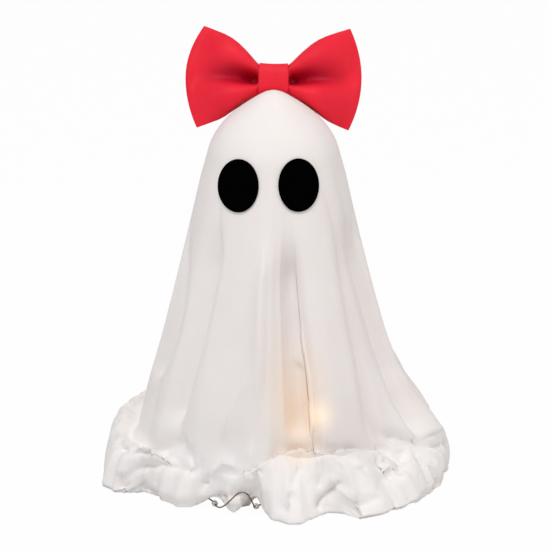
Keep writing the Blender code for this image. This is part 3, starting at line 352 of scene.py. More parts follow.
def curve_through(points, count):
    """A number of points, at even lengths, on a smooth curve through points."""
    controls = [Vector(point) for point in points]
    padded = [2 * controls[0] - controls[1]] + controls + [2 * controls[-1] - controls[-2]]
    fine = []
    for a, b, c, d in zip(padded, padded[1:], padded[2:], padded[3:]):
        for step in range(CURVE_STEPS):
            t = step / CURVE_STEPS
            fine.append(0.5 * ((2 * b) + (c - a) * t + (2 * a - 5 * b + 4 * c - d) * t * t
                               + (3 * b - a - 3 * c + d) * t * t * t))
    fine.append(controls[-1])
    lengths = [0.0]
    for first, second in zip(fine, fine[1:]):
        lengths.append(lengths[-1] + (second - first).length)
    spaced = []
    place = 0
    for step in range(count):
        wanted = lengths[-1] * step / (count - 1)
        while place < len(lengths) - 2 and lengths[place + 1] < wanted:
            place += 1
        span = max(1e-12, lengths[place + 1] - lengths[place])
        spaced.append(fine[place].lerp(fine[place + 1], (wanted - lengths[place]) / span))
    return spaced


# Shader sums

class Value:
    """A socket of a material, or of a node in it, that can be used in sums."""

    def __init__(self, finish, socket):
        self.finish = finish
        self.socket = socket

    def maths(self, operation, *others):
        sockets = {place: item for place, item in enumerate((self,) + others)}
        return self.finish.node("ShaderNodeMath", {"operation": operation}, sockets)

    def __add__(self, other):
        return self.maths("ADD", other)

    def __mul__(self, other):
        return self.maths("MULTIPLY", other)

    def __pow__(self, other):
        return self.maths("POWER", other)

    def __rsub__(self, other):
        return self.finish.node("ShaderNodeMath", {"operation": "SUBTRACT"}, {0: other, 1: self})


class Finish:
    """One material. Its constants go on the shader, and what varies is fed to its sockets."""

    def __init__(self, name, colour, roughness, **constants):
        self.material = bpy.data.materials.new(name)
        self.material.use_nodes = True
        self.tree = self.material.node_tree
        self.shader = self.tree.nodes["Principled BSDF"]
        self.shader.inputs["Base Color"].default_value = (*colour, 1.0)
        self.shader.inputs["Roughness"].default_value = roughness
        for socket, value in constants.items():
            self.shader.inputs[socket.replace("_", " ")].default_value = value
        self.material.diffuse_color = (*colour, 1.0)

    def node(self, kind, settings=None, sockets=None, out=0):
        """Add a node: its settings first, then the values or links of its sockets."""
        made = self.tree.nodes.new(kind)
        for setting, value in (settings or {}).items():
            setattr(made, setting, value)
        for socket, value in (sockets or {}).items():
            if isinstance(value, Value):
                self.tree.links.new(value.socket, made.inputs[socket])
            else:
                made.inputs[socket].default_value = value
        return Value(self, made.outputs[out])

    def feed(self, socket, value):
        """Link a value to the shader."""
        self.tree.links.new(value.socket, self.shader.inputs[socket])

    def place(self, scale=(1.0, 1.0, 1.0), surface=None):
        """Object coordinates, or the piece's own UV map, scaled."""
        if surface:
            source = self.node("ShaderNodeUVMap", {"uv_map": surface})
        else:
            source = self.node("ShaderNodeTexCoord", out=3)
        return self.node("ShaderNodeMapping", {}, {"Vector": source, "Scale": scale})

    def clouds(self, where, scale, detail=3.0, roughness=0.5):
        """Soft noise from nothing to one."""
        return self.node("ShaderNodeTexNoise", {},
                         {"Vector": where, "Scale": scale, "Detail": detail, "Roughness": roughness})

    def cells(self, where, scale):
        """Distance in a cell pattern."""
        return self.node("ShaderNodeTexVoronoi", {}, {"Vector": where, "Scale": scale})

    def stripes(self, where, scale, distortion=0.0, direction="X"):
        """Even waves along a direction."""
        return self.node("ShaderNodeTexWave", {"wave_type": "BANDS", "bands_direction": direction},
                         {"Vector": where, "Scale": scale, "Distortion": distortion}, out=1)

    def between(self, share, first, second, blend="MIX"):
        """A colour mixed from two."""
        first = first if isinstance(first, Value) else (*first, 1.0)
        second = second if isinstance(second, Value) else (*second, 1.0)
        return self.node("ShaderNodeMix", {"data_type": "RGBA", "blend_type": blend},
                         {0: share, 6: first, 7: second}, out=2)

    def spread(self, value, low, high, to_low=0.0, to_high=1.0):
        """A value moved from one range to another, and kept in it."""
        return self.node("ShaderNodeMapRange", {"clamp": True},
                         {0: value, 1: low, 2: high, 3: to_low, 4: to_high})

    def relief(self, height, distance, strength):
        """Feed a height to the shader's normal."""
        self.feed("Normal", self.node("ShaderNodeBump", {}, {
            "Strength": strength, "Distance": distance, "Height": height}))

    def vary(self, share, first, second):
        """Feed a colour mixed from two to the shader."""
        self.feed("Base Color", self.between(share, first, second))

    def roughen(self, value, low, high, smoothest, roughest):
        """Feed a roughness that follows a value to the shader."""
        self.feed("Roughness", self.spread(value, low, high, smoothest, roughest))


# Making pieces

def add_object(name, data):
    """A new object in the scene."""
    made = bpy.data.objects.new(name, data)
    bpy.context.scene.collection.objects.link(made)
    return made


def add_mesh(name, builder, finish):
    """Turn a bmesh into an object of one material."""
    mesh = bpy.data.meshes.new(name)
    builder.to_mesh(mesh)
    builder.free()
    mesh.materials.append(finish.material)
    return add_object(name, mesh)


def finish_mesh(name, builder, finish, body, smooth_angle):
    """Turn a bmesh into a named piece that rides on a body."""
    piece = add_mesh(name, builder, finish)
    piece.data.shade_smooth()
    if smooth_angle:
        piece.data.set_sharp_from_angle(angle=math.radians(smooth_angle))
    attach(piece, body)
    return piece


def grid(columns, rows, size=1.0):
    """A bmesh with a flat grid of faces that reaches its size to every side."""
    builder = bmesh.new()
    bmesh.ops.create_grid(builder, x_segments=columns, y_segments=rows, size=size, calc_uvs=False)
    return builder


def lay_uv(builder, woven, spots):
    """Give every corner of a face the flat place of its vertex."""
    for face in builder.faces:
        for loop in face.loops:
            loop[woven].uv = spots[loop.vert]


def dress(node, finish):
    """Give a CAD node a better material."""
    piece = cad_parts[node]
    piece.data.materials.clear()
    piece.data.materials.append(finish.material)


def add_modifier(piece, kind, **settings):
    """Add a modifier with its settings."""
    modifier = piece.modifiers.new(kind.lower(), kind)
    for setting, value in settings.items():
        setattr(modifier, setting, value)


# Camera, light and floor

def make_camera():
    """The camera at the photograph's angle."""
    data = bpy.data.cameras.new("camera")
    data.sensor_width = SENSOR_WIDTH
    data.lens = SENSOR_WIDTH * VIEW_DISTANCE / (PHOTO_WIDTH * PIXEL)
    camera = add_object("camera", data)
    camera.location = Vector(VIEW_TARGET) + TOWARD_VIEWER * VIEW_DISTANCE
    camera.rotation_mode = "QUATERNION"
    camera.rotation_quaternion = (-TOWARD_VIEWER).to_track_quat("-Z", "Y")
    bpy.context.scene.camera = camera


def add_light(name, place, aim, size, power, colour):
    """A soft square light aimed at a point."""
    data = bpy.data.lights.new(name, "AREA")
    data.size = size
    data.energy = power
    data.color = colour
    lamp = add_object(name, data)
    lamp.location = place
    lamp.rotation_mode = "QUATERNION"
    lamp.rotation_quaternion = (Vector(aim) - Vector(place)).to_track_quat("-Z", "Y")


def make_studio():
    """Plain pale floor and soft light: the backdrop shows white and lights the piece more weakly."""
    bpy.context.scene.view_settings.view_transform = "Standard"
    world = bpy.data.worlds.new("studio")
    world.use_nodes = True
    nodes = world.node_tree.nodes
    backdrop = nodes["Background"]
    backdrop.inputs["Color"].default_value = (1.0, 1.0, 1.0, 1.0)
    seen = nodes.new("ShaderNodeLightPath").outputs["Is Camera Ray"]
    strength = nodes.new("ShaderNodeMapRange")
    strength.inputs["To Min"].default_value = SOFT_LIGHT
    strength.inputs["To Max"].default_value = 1.0
    world.node_tree.links.new(seen, strength.inputs["Value"])
    world.node_tree.links.new(strength.outputs["Result"], backdrop.inputs["Strength"])
    bpy.context.scene.world = world
    for light in LIGHTS:
        add_light(*light)
    floor = Finish("studio_floor", (0.80, 0.80, 0.80), 0.9, Specular_IOR_Level=0.1)
    tree = floor.tree
    glow = floor.node("ShaderNodeEmission", {}, {"Strength": 1.0})
    direct = floor.node("ShaderNodeLightPath")
    blend = floor.node("ShaderNodeMixShader", {}, {0: direct * FLOOR_WHITE})
    tree.links.new(floor.shader.outputs[0], blend.socket.node.inputs[1])
    tree.links.new(glow.socket, blend.socket.node.inputs[2])
    tree.links.new(blend.socket, tree.nodes["Material Output"].inputs["Surface"])
    plane = add_mesh("floor", grid(2, 2, FLOOR_SIZE), floor)


# Light string

STRING_ROUTE = (
    (-0.0030, -0.0160, 0.1690), (0.0020, -0.0300, 0.1600), (0.0140, -0.0500, 0.1330),
    (0.0250, -0.0680, 0.1000), (0.0300, -0.0770, 0.0700), (0.0290, -0.0775, 0.0420),
    (0.0250, -0.0740, 0.0170), (0.0140, -0.0700, 0.0050), (0.0020, -0.0720, 0.0026),
    (-0.0080, -0.0830, 0.0026), (-0.0130, -0.0940, 0.0040), (-0.0160, -0.1020, 0.0120),
    (-0.0195, -0.1045, 0.0180), (-0.0250, -0.1045, 0.0182), (-0.0310, -0.1015, 0.0115),
    (-0.0365, -0.0970, 0.0052), (-0.0405, -0.0900, 0.0026), (-0.0430, -0.0790, 0.0024),
    (-0.0520, -0.0630, 0.0024), (-0.0680, -0.0420, 0.0024), (-0.0770, -0.0140, 0.0024),
    (-0.0750, 0.0160, 0.0024),
    (-0.0610, 0.0440, 0.0024), (-0.0380, 0.0640, 0.0024), (-0.0080, 0.0730, 0.0024),
    (0.0230, 0.0680, 0.0024), (0.0480, 0.0520, 0.0024), (0.0560, 0.0395, 0.0024))
FALLING_POINTS = 7
FALLING_STEPS = 160
STRING_CLEARANCE = 0.0048
WINDING_TURNS = 9
WINDING_PITCH = 0.0080
WINDING_LEAD_IN = 0.75
WINDING_END_BEARING = -107.5
POINTS_A_LOOP = 24
EXIT_RISE = 0.0052
EXIT_BEND = 0.0035
BEND_STEPS = 8
# how many wire radii the loose wire goes straight on, and the number of its points
LOOSE_LEAD = 8
LOOSE_STEPS = 240


def winding_points():
    """The wire from the roof of the battery box onto the post and up it."""
    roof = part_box("light_winding")[0].z
    exit_radius = math.hypot(*STRING_START)
    exit_turn = math.atan2(STRING_START[1], STRING_START[0])
    wound = POST_RADIUS + GAP + WIRE_RADIUS
    end_turn = math.radians(WINDING_END_BEARING - 90.0)
    turns = WINDING_TURNS + ((end_turn - exit_turn) / (2 * math.pi)) % 1.0
    points = [Vector((*STRING_START, roof))]
    for step in range(BEND_STEPS + 1):
        bend = 0.5 * math.pi * step / BEND_STEPS
        angle = exit_turn + EXIT_BEND * (1.0 - math.cos(bend)) / exit_radius
        points.append(Vector((exit_radius * math.cos(angle), exit_radius * math.sin(angle),
                              roof + EXIT_RISE - EXIT_BEND * (1.0 - math.sin(bend)))))
    count = round(turns * POINTS_A_LOOP)
    for step in range(1, count + 1):
        turned = turns * step / count
        radius = mix(exit_radius, wound, smooth(turned / WINDING_LEAD_IN))
        angle = exit_turn + 2 * math.pi * turned
        points.append(Vector((radius * math.cos(angle), radius * math.sin(angle),
                              roof + EXIT_RISE + WINDING_PITCH * turned)))
    return points


def wire_finish():
    """Lacquered copper wire with darker patches."""
    wire = Finish("lacquered_copper", (0.43, 0.25, 0.13), 0.32, Metallic=1.0)
    patches = wire.clouds(wire.place((900.0, 900.0, 900.0)), 0.25)
    wire.vary(wire.spread(patches, 0.35, 0.7), (0.15, 0.085, 0.05), (0.30, 0.18, 0.11))
    wire.roughen(patches, 0.3, 0.7, 0.24, 0.42)
    return wire


def make_string():
    """The whole light string as one wire: wound up the post, then loose inside the cover."""
    wound = winding_points()
    along = (wound[-1] - wound[-2]).normalized()
    start = wound[-1] + along * GAP
    controls = [start, start + along * LOOSE_LEAD * WIRE_RADIUS, *STRING_ROUTE]
    points = wound + curve_through(controls, LOOSE_STEPS)
    curve = bpy.data.curves.new("light_string_wire", "CURVE")
    curve.dimensions = "3D"
    curve.bevel_depth = WIRE_RADIUS
    curve.bevel_resolution = 2
    curve.use_fill_caps = True
    spline = curve.splines.new("POLY")
    spline.points.add(len(points) - 1)
    for place, point in zip(spline.points, points):
        place.co = (*point, 1.0)
    curve.materials.append(wire_finish().material)
    piece = add_object("light_string_wire", curve)
    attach(piece, "stand")
    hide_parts("light_winding", "light_string")
    length = sum((b - a).length for a, b in zip(points, points[1:]))
    print(f"light string: {length * 1000:.0f} mm")


# Cloth cover

def drape_line():
    """The drape line from the crown to where the skirt meets the roll, at even steps."""
    points = [(wide * SKIRT_RADIUS, high * COVER_HEIGHT) for wide, high in DRAPE_SHARES]
    return curve_through([(radius, height, 0.0) for radius, height in points], SKIRT_ROWS)


def fold_amount(height):
    """How far the folds have opened: nothing at the head, all at the table."""
    start = FOLD_START_SHARE * COVER_HEIGHT
    return min(1.0, max(0.0, (start - height) / start)) ** FOLD_POWER


def arch_rise(bearing, arches=ARCHES):
    """How high the hem stands off the table at a bearing."""
    rise = 0.0
    for middle, half_width, height in arches:
        away = abs((bearing - middle + 180) % 360 - 180) / half_width
        rise = max(rise, height * (1.0 - smooth(away)))
    return rise


def column_bearings():
    """The table bearing of every column, closer together at the front."""
    front = [mix(-FRONT_BEARING, FRONT_BEARING, step / FRONT_COLUMNS)
             for step in range(FRONT_COLUMNS)]
    return front + [mix(FRONT_BEARING, 360.0 - FRONT_BEARING, step / BACK_COLUMNS)
                    for step in range(BACK_COLUMNS + 1)]


def flare_at(bearing, height):
    """How far the skirt stands out where it flares into the roll."""
    share = read_round(FLARES, bearing)
    if height >= FLARE_LINE[-1][0]:
        return 0.0
    for (low, wide), (high, narrow) in zip(FLARE_LINE, FLARE_LINE[1:]):
        if height <= high:
            return share * mix(wide, narrow, max(0.0, (height - low) / (high - low)))
    return 0.0


def roll_points(bearing, start):
    """The roll's line at a bearing, from the crease at the skirt to the hem's edge inside."""
    reach = ROLL_RADIUS * read_round(ROLL_OUTLINE, bearing)
    crest = ROLL_HEIGHT * read_round(ROLL_HEIGHTS, bearing)
    flare, flow = read_round(FLARES, bearing), read_round(FLOWS, bearing)
    rise = arch_rise(bearing)
    nearby = [read_round(ROLL_OUTLINE, bearing + turn) for turn in CREST_SPREAD]
    wide_reach = ROLL_RADIUS * sum(nearby) / len(nearby)
    lean = read_round(LEANS, bearing)
    crest_radius = min(ROLL_CREST_RADIUS, mix(SKIRT_RADIUS, wide_reach, CREST_REACH_SHARE))
    crest_radius = mix(crest_radius, start[0] + LEANING_CREST_STEP, lean)
    belly = max(crest * ROLL_BELLY_SHARE, rise + BELLY_CLEARANCE)
    foot = rise + TABLE_GAP + CLOTH_THICKNESS
    edge = max(reach - HEM_SETBACK, HEM_EDGE_RADIUS + EDGE_CLEARANCE)
    inside = arch_rise(bearing, WIRE_PASSES) + TABLE_GAP + CLOTH_THICKNESS
    tucked = [(edge, foot), (mix(edge, HEM_EDGE_RADIUS, TUCK_SHARE), mix(foot, inside, 0.5)),
              (HEM_EDGE_RADIUS, inside)]
    shoulder = crest * mix(*PUFF_NEAR_HEIGHTS, lean) - PUFF_DIP * (1.0 - lean)
    puffed = [(mix(start[0], crest_radius, PUFF_NEAR_SHARE), shoulder), (crest_radius, crest),
              (mix(crest_radius, reach, mix(*PUFF_FALL_SHARES, lean)),
               mix(crest, belly, mix(*PUFF_FALL_DROPS, lean))),
              (reach, belly), (mix(reach, edge, PUFF_TURN_SHARE), mix(belly, foot, FOOT_SHARE))]
    flared = [(mix(start[0], reach, share), height) for share, height in FLARED_SPOTS]
    flared += [(reach, height) for height in FLARED_DROP]
    flared.append((mix(reach, edge, FLARED_TURN[0]), FLARED_TURN[1]))
    low = max(FLOWING_LEAST, rise + FLOWING_CLEARANCE)
    flowing = [(mix(start[0], reach, share), mix(start[1], low, share)) for share in FLOWING_SHARES]
    flowing += [(reach, low), (mix(reach, edge, 0.5), mix(low, foot, FOOT_SHARE))]
    controls = [start]
    for puff, wide, down in zip(puffed, flared, flowing):
        spot = [mix(a, b, flare) for a, b in zip(puff, wide)]
        controls.append([mix(a, b, flow) for a, b in zip(spot, down)])
    controls += tucked
    return curve_through([(radius, height, 0.0) for radius, height in controls], ROLL_ROWS + 1)[1:]


def seen_place(point):
    """Where the photograph shows a point, in metres on its own plane."""
    return Vector((point.x, point.z * math.cos(TILT) + point.y * math.sin(TILT)))


def photo_place(x, y):
    """A point of the photograph in metres on its own plane."""
    return (x - PHOTO_MIDDLE) * PIXEL, (PHOTO_TABLE_LINE - y) * PIXEL


def sight_line(x, y):
    """A point far in front of the object, and the way to a point of the photograph from there."""
    across, up = photo_place(x, y)
    look = Vector((0.0, math.cos(TILT), -math.sin(TILT)))
    return Vector((across, 0.0, 0.0)) + UP_IN_VIEW * up - look, look


def beside(line, place, end_share):
    """How far a place is from a line, whether on its left, and how near the line's ends it is."""
    lengths = [(second - first).length for first, second in zip(line, line[1:])]
    whole = sum(lengths)
    opening = max(CREASE_TAPER, CREASE_START_SHARE * whole)
    closing = max(CREASE_TAPER, end_share * whole)
    least = (math.inf, True, 0.0)
    run = 0.0
    for first, second, length in zip(line, line[1:], lengths):
        span = second - first
        share = min(1.0, max(0.0, (place - first).dot(span) / span.length_squared))
        offset = place - first - span * share
        if offset.length < least[0]:
            walked = run + length * share
            on_left = span.x * offset.y - span.y * offset.x > 0.0
            ends = smooth(walked / opening) * smooth((whole - walked) / closing)
            least = (offset.length, on_left, ends)
        run += length
    return least


def press_creases(builder):
    """Fold the cloth along the seen creases: soft on one side of each, crisp on the other."""
    builder.normal_update()
    lines = [([Vector(photo_place(x, y)) for x, y in points], depth, left, right)
             for points, depth, left, right in SEEN_CREASES]
    moves = {}
    for vertex in builder.verts:
        facing = smooth(vertex.normal.dot(TOWARD_VIEWER) * CREASE_FACING)
        if facing == 0.0 or vertex.co.y > CREASE_BACK:
            continue
        place = seen_place(vertex.co)
        move = 0.0
        for line, depth, left, right in lines:
            end_share = CREASE_END_SHARE if depth > 0.0 else RIDGE_END_SHARE
            away, on_left, taper = beside(line, place, end_share)
            width = left if on_left else right
            if away < CREASE_REACH * width:
                move -= depth * taper * math.exp(-(away / width) ** CREASE_POWER)
        if move:
            on_head = smooth((vertex.co.z - CREASE_HEAD[0]) / (CREASE_HEAD[1] - CREASE_HEAD[0]))
            moves[vertex] = vertex.normal * move * facing * mix(1.0, CREASE_HEAD_SHARE, on_head)
    for vertex, move in moves.items():
        vertex.co += move
        vertex.co.z = max(vertex.co.z, TABLE_GAP + CLOTH_THICKNESS)


def hold_off_string(builder):
    """Where a fold would sink onto the falling wire and its lamps, they hold the cloth out."""
    route = curve_through(STRING_ROUTE[:FALLING_POINTS], FALLING_STEPS)
    line = KDTree(len(route))
    for index, point in enumerate(route):
        line.insert(point, index)
    line.balance()
    for vertex in builder.verts:
        near, _, away = line.find(vertex.co)
        if away >= STRING_CLEARANCE:
            continue
        outward = Vector((vertex.co.x, vertex.co.y, 0.0)).normalized()
        offset = vertex.co - near
        run = offset.dot(outward)
        reach = math.sqrt(run ** 2 - offset.length_squared + STRING_CLEARANCE ** 2)
        vertex.co += outward * (reach - run)


def gathers(bearing, share):
    """Small radial gathers in the roll, in metres."""
    if share >= GATHER_END_SHARE:
        return 0.0
    turn = math.radians(bearing)
    wave = 0.0
    for waves, size, phase in GATHERS:
        wave += size * math.sin(waves * turn + phase + 2.0 * share * math.sin(3 * turn + phase))
    return GATHER_DEPTH * wave * math.sin(math.pi * min(1.0, share * GATHER_PACE)) ** GATHER_POWER


def settle_roll(builder, along):
    """Let the slack cloth of the roll buckle by itself: it grows a little between the held skirt and
    the held hem, under light pressure, and no point moves further than it may."""
    mesh = bpy.data.meshes.new("slack_cloth")
    builder.to_mesh(mesh)
    slack = add_object("slack_cloth", mesh)
    held = slack.vertex_groups.new(name="held")
    first, free, still_free, last = SLACK_ROWS
    for vertex in builder.verts:
        share = vertex[along]
        bearing = math.degrees(math.atan2(vertex.co.x, -vertex.co.y))
        weight = max(1.0 - smooth((share - first) / (free - first)),
                     smooth((share - still_free) / (last - still_free)),
                     SLACK_FLOW_HOLD * read_round(FLOWS, bearing))
        held.add([vertex.index], weight, "REPLACE")
    cloth = slack.modifiers.new("cloth", "CLOTH")
    for setting, value in SLACK_CLOTH.items():
        setattr(cloth.settings, setting, value)
    cloth.settings.effector_weights.gravity = 0.0
    cloth.collision_settings.use_collision = False
    cloth.point_cache.frame_start = 1
    cloth.point_cache.frame_end = SLACK_FRAMES
    for step in range(1, SLACK_FRAMES + 1):
        bpy.context.scene.frame_set(step)
    settled = slack.evaluated_get(bpy.context.evaluated_depsgraph_get()).data
    builder.verts.ensure_lookup_table()
    for vertex, moved in zip(builder.verts, settled.vertices):
        move = moved.co - vertex.co
        if move.length > SLACK_LIMIT:
            move *= SLACK_LIMIT / move.length
        vertex.co += move
        vertex.co.z = max(vertex.co.z, TABLE_GAP + CLOTH_THICKNESS)
    bpy.context.scene.frame_set(1)
    bpy.data.objects.remove(slack)
    bpy.data.meshes.remove(mesh)


def cloth_finish():
    """White crepe cloth: a fine weave, slight unevenness, painted light that makes the low roll whiter,
    and the lamp's warm glow through it."""
    cloth = Finish("white_crepe", (0.90, 0.89, 0.885), 0.62, Sheen_Weight=0.12, Sheen_Roughness=0.4,
                   Specular_IOR_Level=0.35, Subsurface_Weight=0.05, Subsurface_Scale=0.002,
                   Emission_Strength=0.35)
    woven = cloth.place(surface="woven")
    warp = cloth.stripes(woven, 620.0, 0.6)
    weft = cloth.stripes(woven, 620.0, 0.6, "Y")
    slubs = cloth.clouds(woven, 260.0, 2.0)
    cloth.roughen(slubs, 0.3, 0.7, 0.56, 0.70)
    cloth.relief(warp * 0.5 + weft * 0.5 + slubs * 0.8, 0.00010, 0.5)
    where = cloth.node("ShaderNodeTexCoord", out=3)
    patches = cloth.clouds(cloth.place(), 22.0, 4.0)
    tint = cloth.between(cloth.spread(patches, 0.35, 0.65), (0.925, 0.858, 0.838),
                         (0.945, 0.888, 0.872))
    # painted light: the cloth is painted whiter low down, over the roll, fading out between two heights
    height = cloth.node("ShaderNodeSeparateXYZ", {}, {0: where}, out=2)
    roll_painted_light = cloth.spread(height, *ROLL_PAINTED_LIGHT_HEIGHTS, 1.0, 0.0)
    tint = cloth.between(roll_painted_light, tint, (0.985, 0.945, 0.930))
    near = cloth.node("ShaderNodeVectorMath", {"operation": "DISTANCE"}, {0: where, 1: LAMP_SPOT},
                      out=1)
    valley = cloth.node("ShaderNodeMapping", {}, {
        "Vector": where, "Location": HAZE_SHIFT, "Scale": (1.0, 1.0, HAZE_SQUASH)})
    above = cloth.node("ShaderNodeVectorMath", {"operation": "LENGTH"}, {0: valley}, out=1)
    spot = cloth.spread(near, 0.002, 0.022, 1.0, 0.0) ** 2.5
    haze = cloth.spread(above, 0.004, 0.034, 1.0, 0.0) ** 1.5
    cloth.vary(haze * 0.85, tint, (0.93, 0.77, 0.62))
    warm = cloth.between(spot, (0.0, 0.0, 0.0), (1.0, 0.62, 0.22))
    cloth.feed("Emission Color", cloth.between(haze, warm, (0.17, 0.07, 0.01), "ADD"))
    return cloth


def make_cover():
    """The cloth cover, from one grid of bearings and lengths, with its seam and crown closed."""
    bearings = column_bearings()
    drape = drape_line()
    depths = [(table, depth) for _, table, depth in FOLD_SHARES]
    shifts = [(table, head - table) for head, table, _ in FOLD_SHARES]
    lines = []
    for bearing in bearings:
        depth = read_round(depths, bearing)
        shift = read_round(shifts, bearing)
        line = []
        for spot in drape:
            amount = fold_amount(spot.y)
            radius = max(0.0, spot.x - FOLD_DEPTH * depth * amount) + flare_at(bearing, spot.y)
            line.append((bearing + shift * (1.0 - amount), radius, spot.y))
        start = (line[-1][1], line[-1][2])
        for index, spot in enumerate(roll_points(bearing, start), start=1):
            share = index / ROLL_ROWS
            line.append((bearing, spot.x + gathers(bearing, share), spot.y))
        lines.append(line)
    rows = SKIRT_ROWS + ROLL_ROWS
    builder = grid(len(lines) - 1, rows - 1)
    woven = builder.loops.layers.uv.new("woven")
    along = builder.verts.layers.float.new("along")
    across = {}
    for vertex in builder.verts:
        column = round((vertex.co.x + 1.0) * 0.5 * (len(lines) - 1))
        row = round((vertex.co.y + 1.0) * 0.5 * (rows - 1))
        bearing, radius, height = lines[column][row]
        across[vertex] = (bearings[column] / 360.0 * WOVEN_ROUND, row * WOVEN_ROW)
        vertex[along] = (row - SKIRT_ROWS) / ROLL_ROWS
        vertex.co = from_bearing(bearing, radius, height)
    lay_uv(builder, woven, across)
    bmesh.ops.remove_doubles(builder, verts=builder.verts, dist=2 * MERGE)
    bmesh.ops.recalc_face_normals(builder, faces=builder.faces)
    settle_roll(builder, along)
    press_creases(builder)
    hold_off_string(builder)
    within = [vertex for vertex in builder.verts if len(vertex.link_faces) > 3]
    bmesh.ops.smooth_vert(builder, verts=within, factor=CLOTH_EASE,
                          use_axis_x=True, use_axis_y=True, use_axis_z=True)
    bmesh.ops.recalc_face_normals(builder, faces=builder.faces)
    tree = BVHTree.FromBMesh(builder)
    piece = finish_mesh("draped_cloth", builder, cloth_finish(), "cover", 0.0)
    add_modifier(piece, "SOLIDIFY", thickness=CLOTH_THICKNESS, offset=-1.0, use_even_offset=False)
    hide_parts("cloth_cover")
    return piece, tree


# Felt eyes

def felt_finish():
    """Black felt: matted fibres."""
    felt = Finish("black_felt", (0.0008, 0.0008, 0.0008), 0.95, Specular_IOR_Level=0.01)
    where = felt.place()
    fibres = felt.clouds(where, 1800.0, 6.0, 0.7)
    mats = felt.clouds(where, 420.0)
    felt.vary(felt.spread(fibres, 0.4, 0.75), (0.0002, 0.0002, 0.0002), (0.0012, 0.0012, 0.0013))
    felt.roughen(mats, 0.3, 0.7, 0.86, 1.0)
    felt.relief(fibres * 0.6 + mats * 0.4, 0.00018, 0.7)
    return felt


def make_eyes(tree):
    """Two felt ovals pressed onto the front of the cover."""
    felt = felt_finish()
    for name, (node, middle_x, middle_y) in SEEN_EYES.items():
        builder = grid(EYE_STEPS, EYE_STEPS)
        for vertex in builder.verts:
            u, v = vertex.co.x, vertex.co.y
            x = middle_x + 0.5 * SEEN_EYE_WIDTH * u * math.sqrt(1.0 - 0.5 * v * v)
            y = middle_y - 0.5 * SEEN_EYE_HEIGHT * v * math.sqrt(1.0 - 0.5 * u * u)
            start, look = sight_line(x, y)
            spot, normal, _, _ = tree.ray_cast(start, look)
            vertex.co = spot - (normal if normal.dot(look) > 0 else -normal) * FELT_LIFT
        bmesh.ops.recalc_face_normals(builder, faces=builder.faces)
        if sum(face.normal.dot(face.calc_center_median()) for face in builder.faces) < 0:
            bmesh.ops.reverse_faces(builder, faces=builder.faces)
        piece = finish_mesh(name, builder, felt, "cover", 0.0)
        add_modifier(piece, "SOLIDIFY", thickness=FELT_THICKNESS, offset=1.0)
        add_modifier(piece, "BEVEL", **FELT_BEVEL)
        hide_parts(node)


# Bow

def bow_frame():
    """The bow's own frame: X across, Y back, Z up along its lean, from the CAD band's place."""
    low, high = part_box("bow_band")
    lean = Matrix.Rotation(math.radians(-BOW_LEAN), 4, "X")
    roll = Matrix.Rotation(math.radians(BOW_ROLL), 4, "Y")
    middle = 0.5 * (Vector(low) + Vector(high)) - Vector((0.0, 0.0, BOW_SINK))
    return Matrix.Translation(middle) @ lean @ roll


def bow_edge(out_share):
    """Half the height of the pocket at a share of the way from the waist to its end."""
    for (near, low), (far, high) in zip(BOW_RISE, BOW_RISE[1:]):
        if out_share <= far:
            rise = mix(low, high, (out_share - near) / (far - near))
            return mix(0.5 * BOW_WAIST_HEIGHT, 0.5 * BOW_END_HEIGHT, rise)
    return 0.5 * BOW_END_HEIGHT


def swell(out_share):
    """How far the pocket has swollen at a share of the way out."""
    return math.sin(math.pi * min(1.0, out_share * PUFF_PACE))


def bow_puff(out_share, up_share):
    """Half the depth of the pocket, without its pleat."""
    body = mix(0.5 * BOW_WAIST_DEPTH, BOW_PUFF, swell(out_share))
    body = body * math.cos(0.5 * math.pi * out_share ** 3)
    flat, full = PUFF_EDGE_POWERS
    return 0.5 * BOW_EDGE + body * (1.0 - abs(up_share) ** flat) ** full


def bow_pleat(out_share, up_share):
    """How far the front is drawn in along the pleat that runs out from the waist: it sinks slowly
    from above and stands up sharply below."""
    middle = PLEAT_BOW * swell(out_share) - PLEAT_FALL * (1.0 - out_share)
    width = mix(*(PLEAT_ABOVE if up_share > middle else PLEAT_BELOW), out_share)
    fade = max(0.0, 1.0 - out_share / PLEAT_END_SHARE) ** PLEAT_FADE_POWER
    start = min(1.0, out_share / PLEAT_START_SHARE)
    return BOW_PLEAT * start * fade * math.exp(-abs((up_share - middle) / width) ** PLEAT_POWER)


def press_off(builder, tree):
    """Bend what would sink into the cover back round the crown."""
    centre = Vector((0.0, -PRESS_FORWARD, PRESS_HEIGHT_SHARE * COVER_HEIGHT))
    for vertex in builder.verts:
        away = vertex.co - centre
        spot, _, _, _ = tree.ray_cast(centre, away)
        if spot is None:
            continue
        surface = (spot - centre).length + PRESS_GAP
        over = (away.length - surface) / PRESS_SOFTNESS
        soft = math.log1p(math.exp(over)) if over < PRESS_FAR else over
        vertex.co = centre + away.normalized() * (surface + PRESS_SOFTNESS * soft)


def satin_finish(name, colour, deep):
    """Red satin ribbon: fine ribs, a soft sheen and painted shade in the pleat's crease."""
    satin = Finish(name, colour, 0.5, Specular_IOR_Level=0.14)
    ribs = satin.stripes(satin.place(surface="woven"), 900.0, 0.3, "Y")
    patches = satin.clouds(satin.place(), 38.0)
    # painted shade: the tucked attribute darkens the satin deep in the pleat
    tucked = satin.node("ShaderNodeAttribute", {"attribute_name": "tucked"}, out=2)
    even = satin.between(satin.spread(patches, 0.3, 0.7), deep, colour)
    satin.vary(tucked, even, (0.46, 0.004, 0.022))
    satin.roughen(patches, 0.3, 0.7, 0.38, 0.50)
    satin.relief(ribs, 0.00006, 0.4)
    return satin


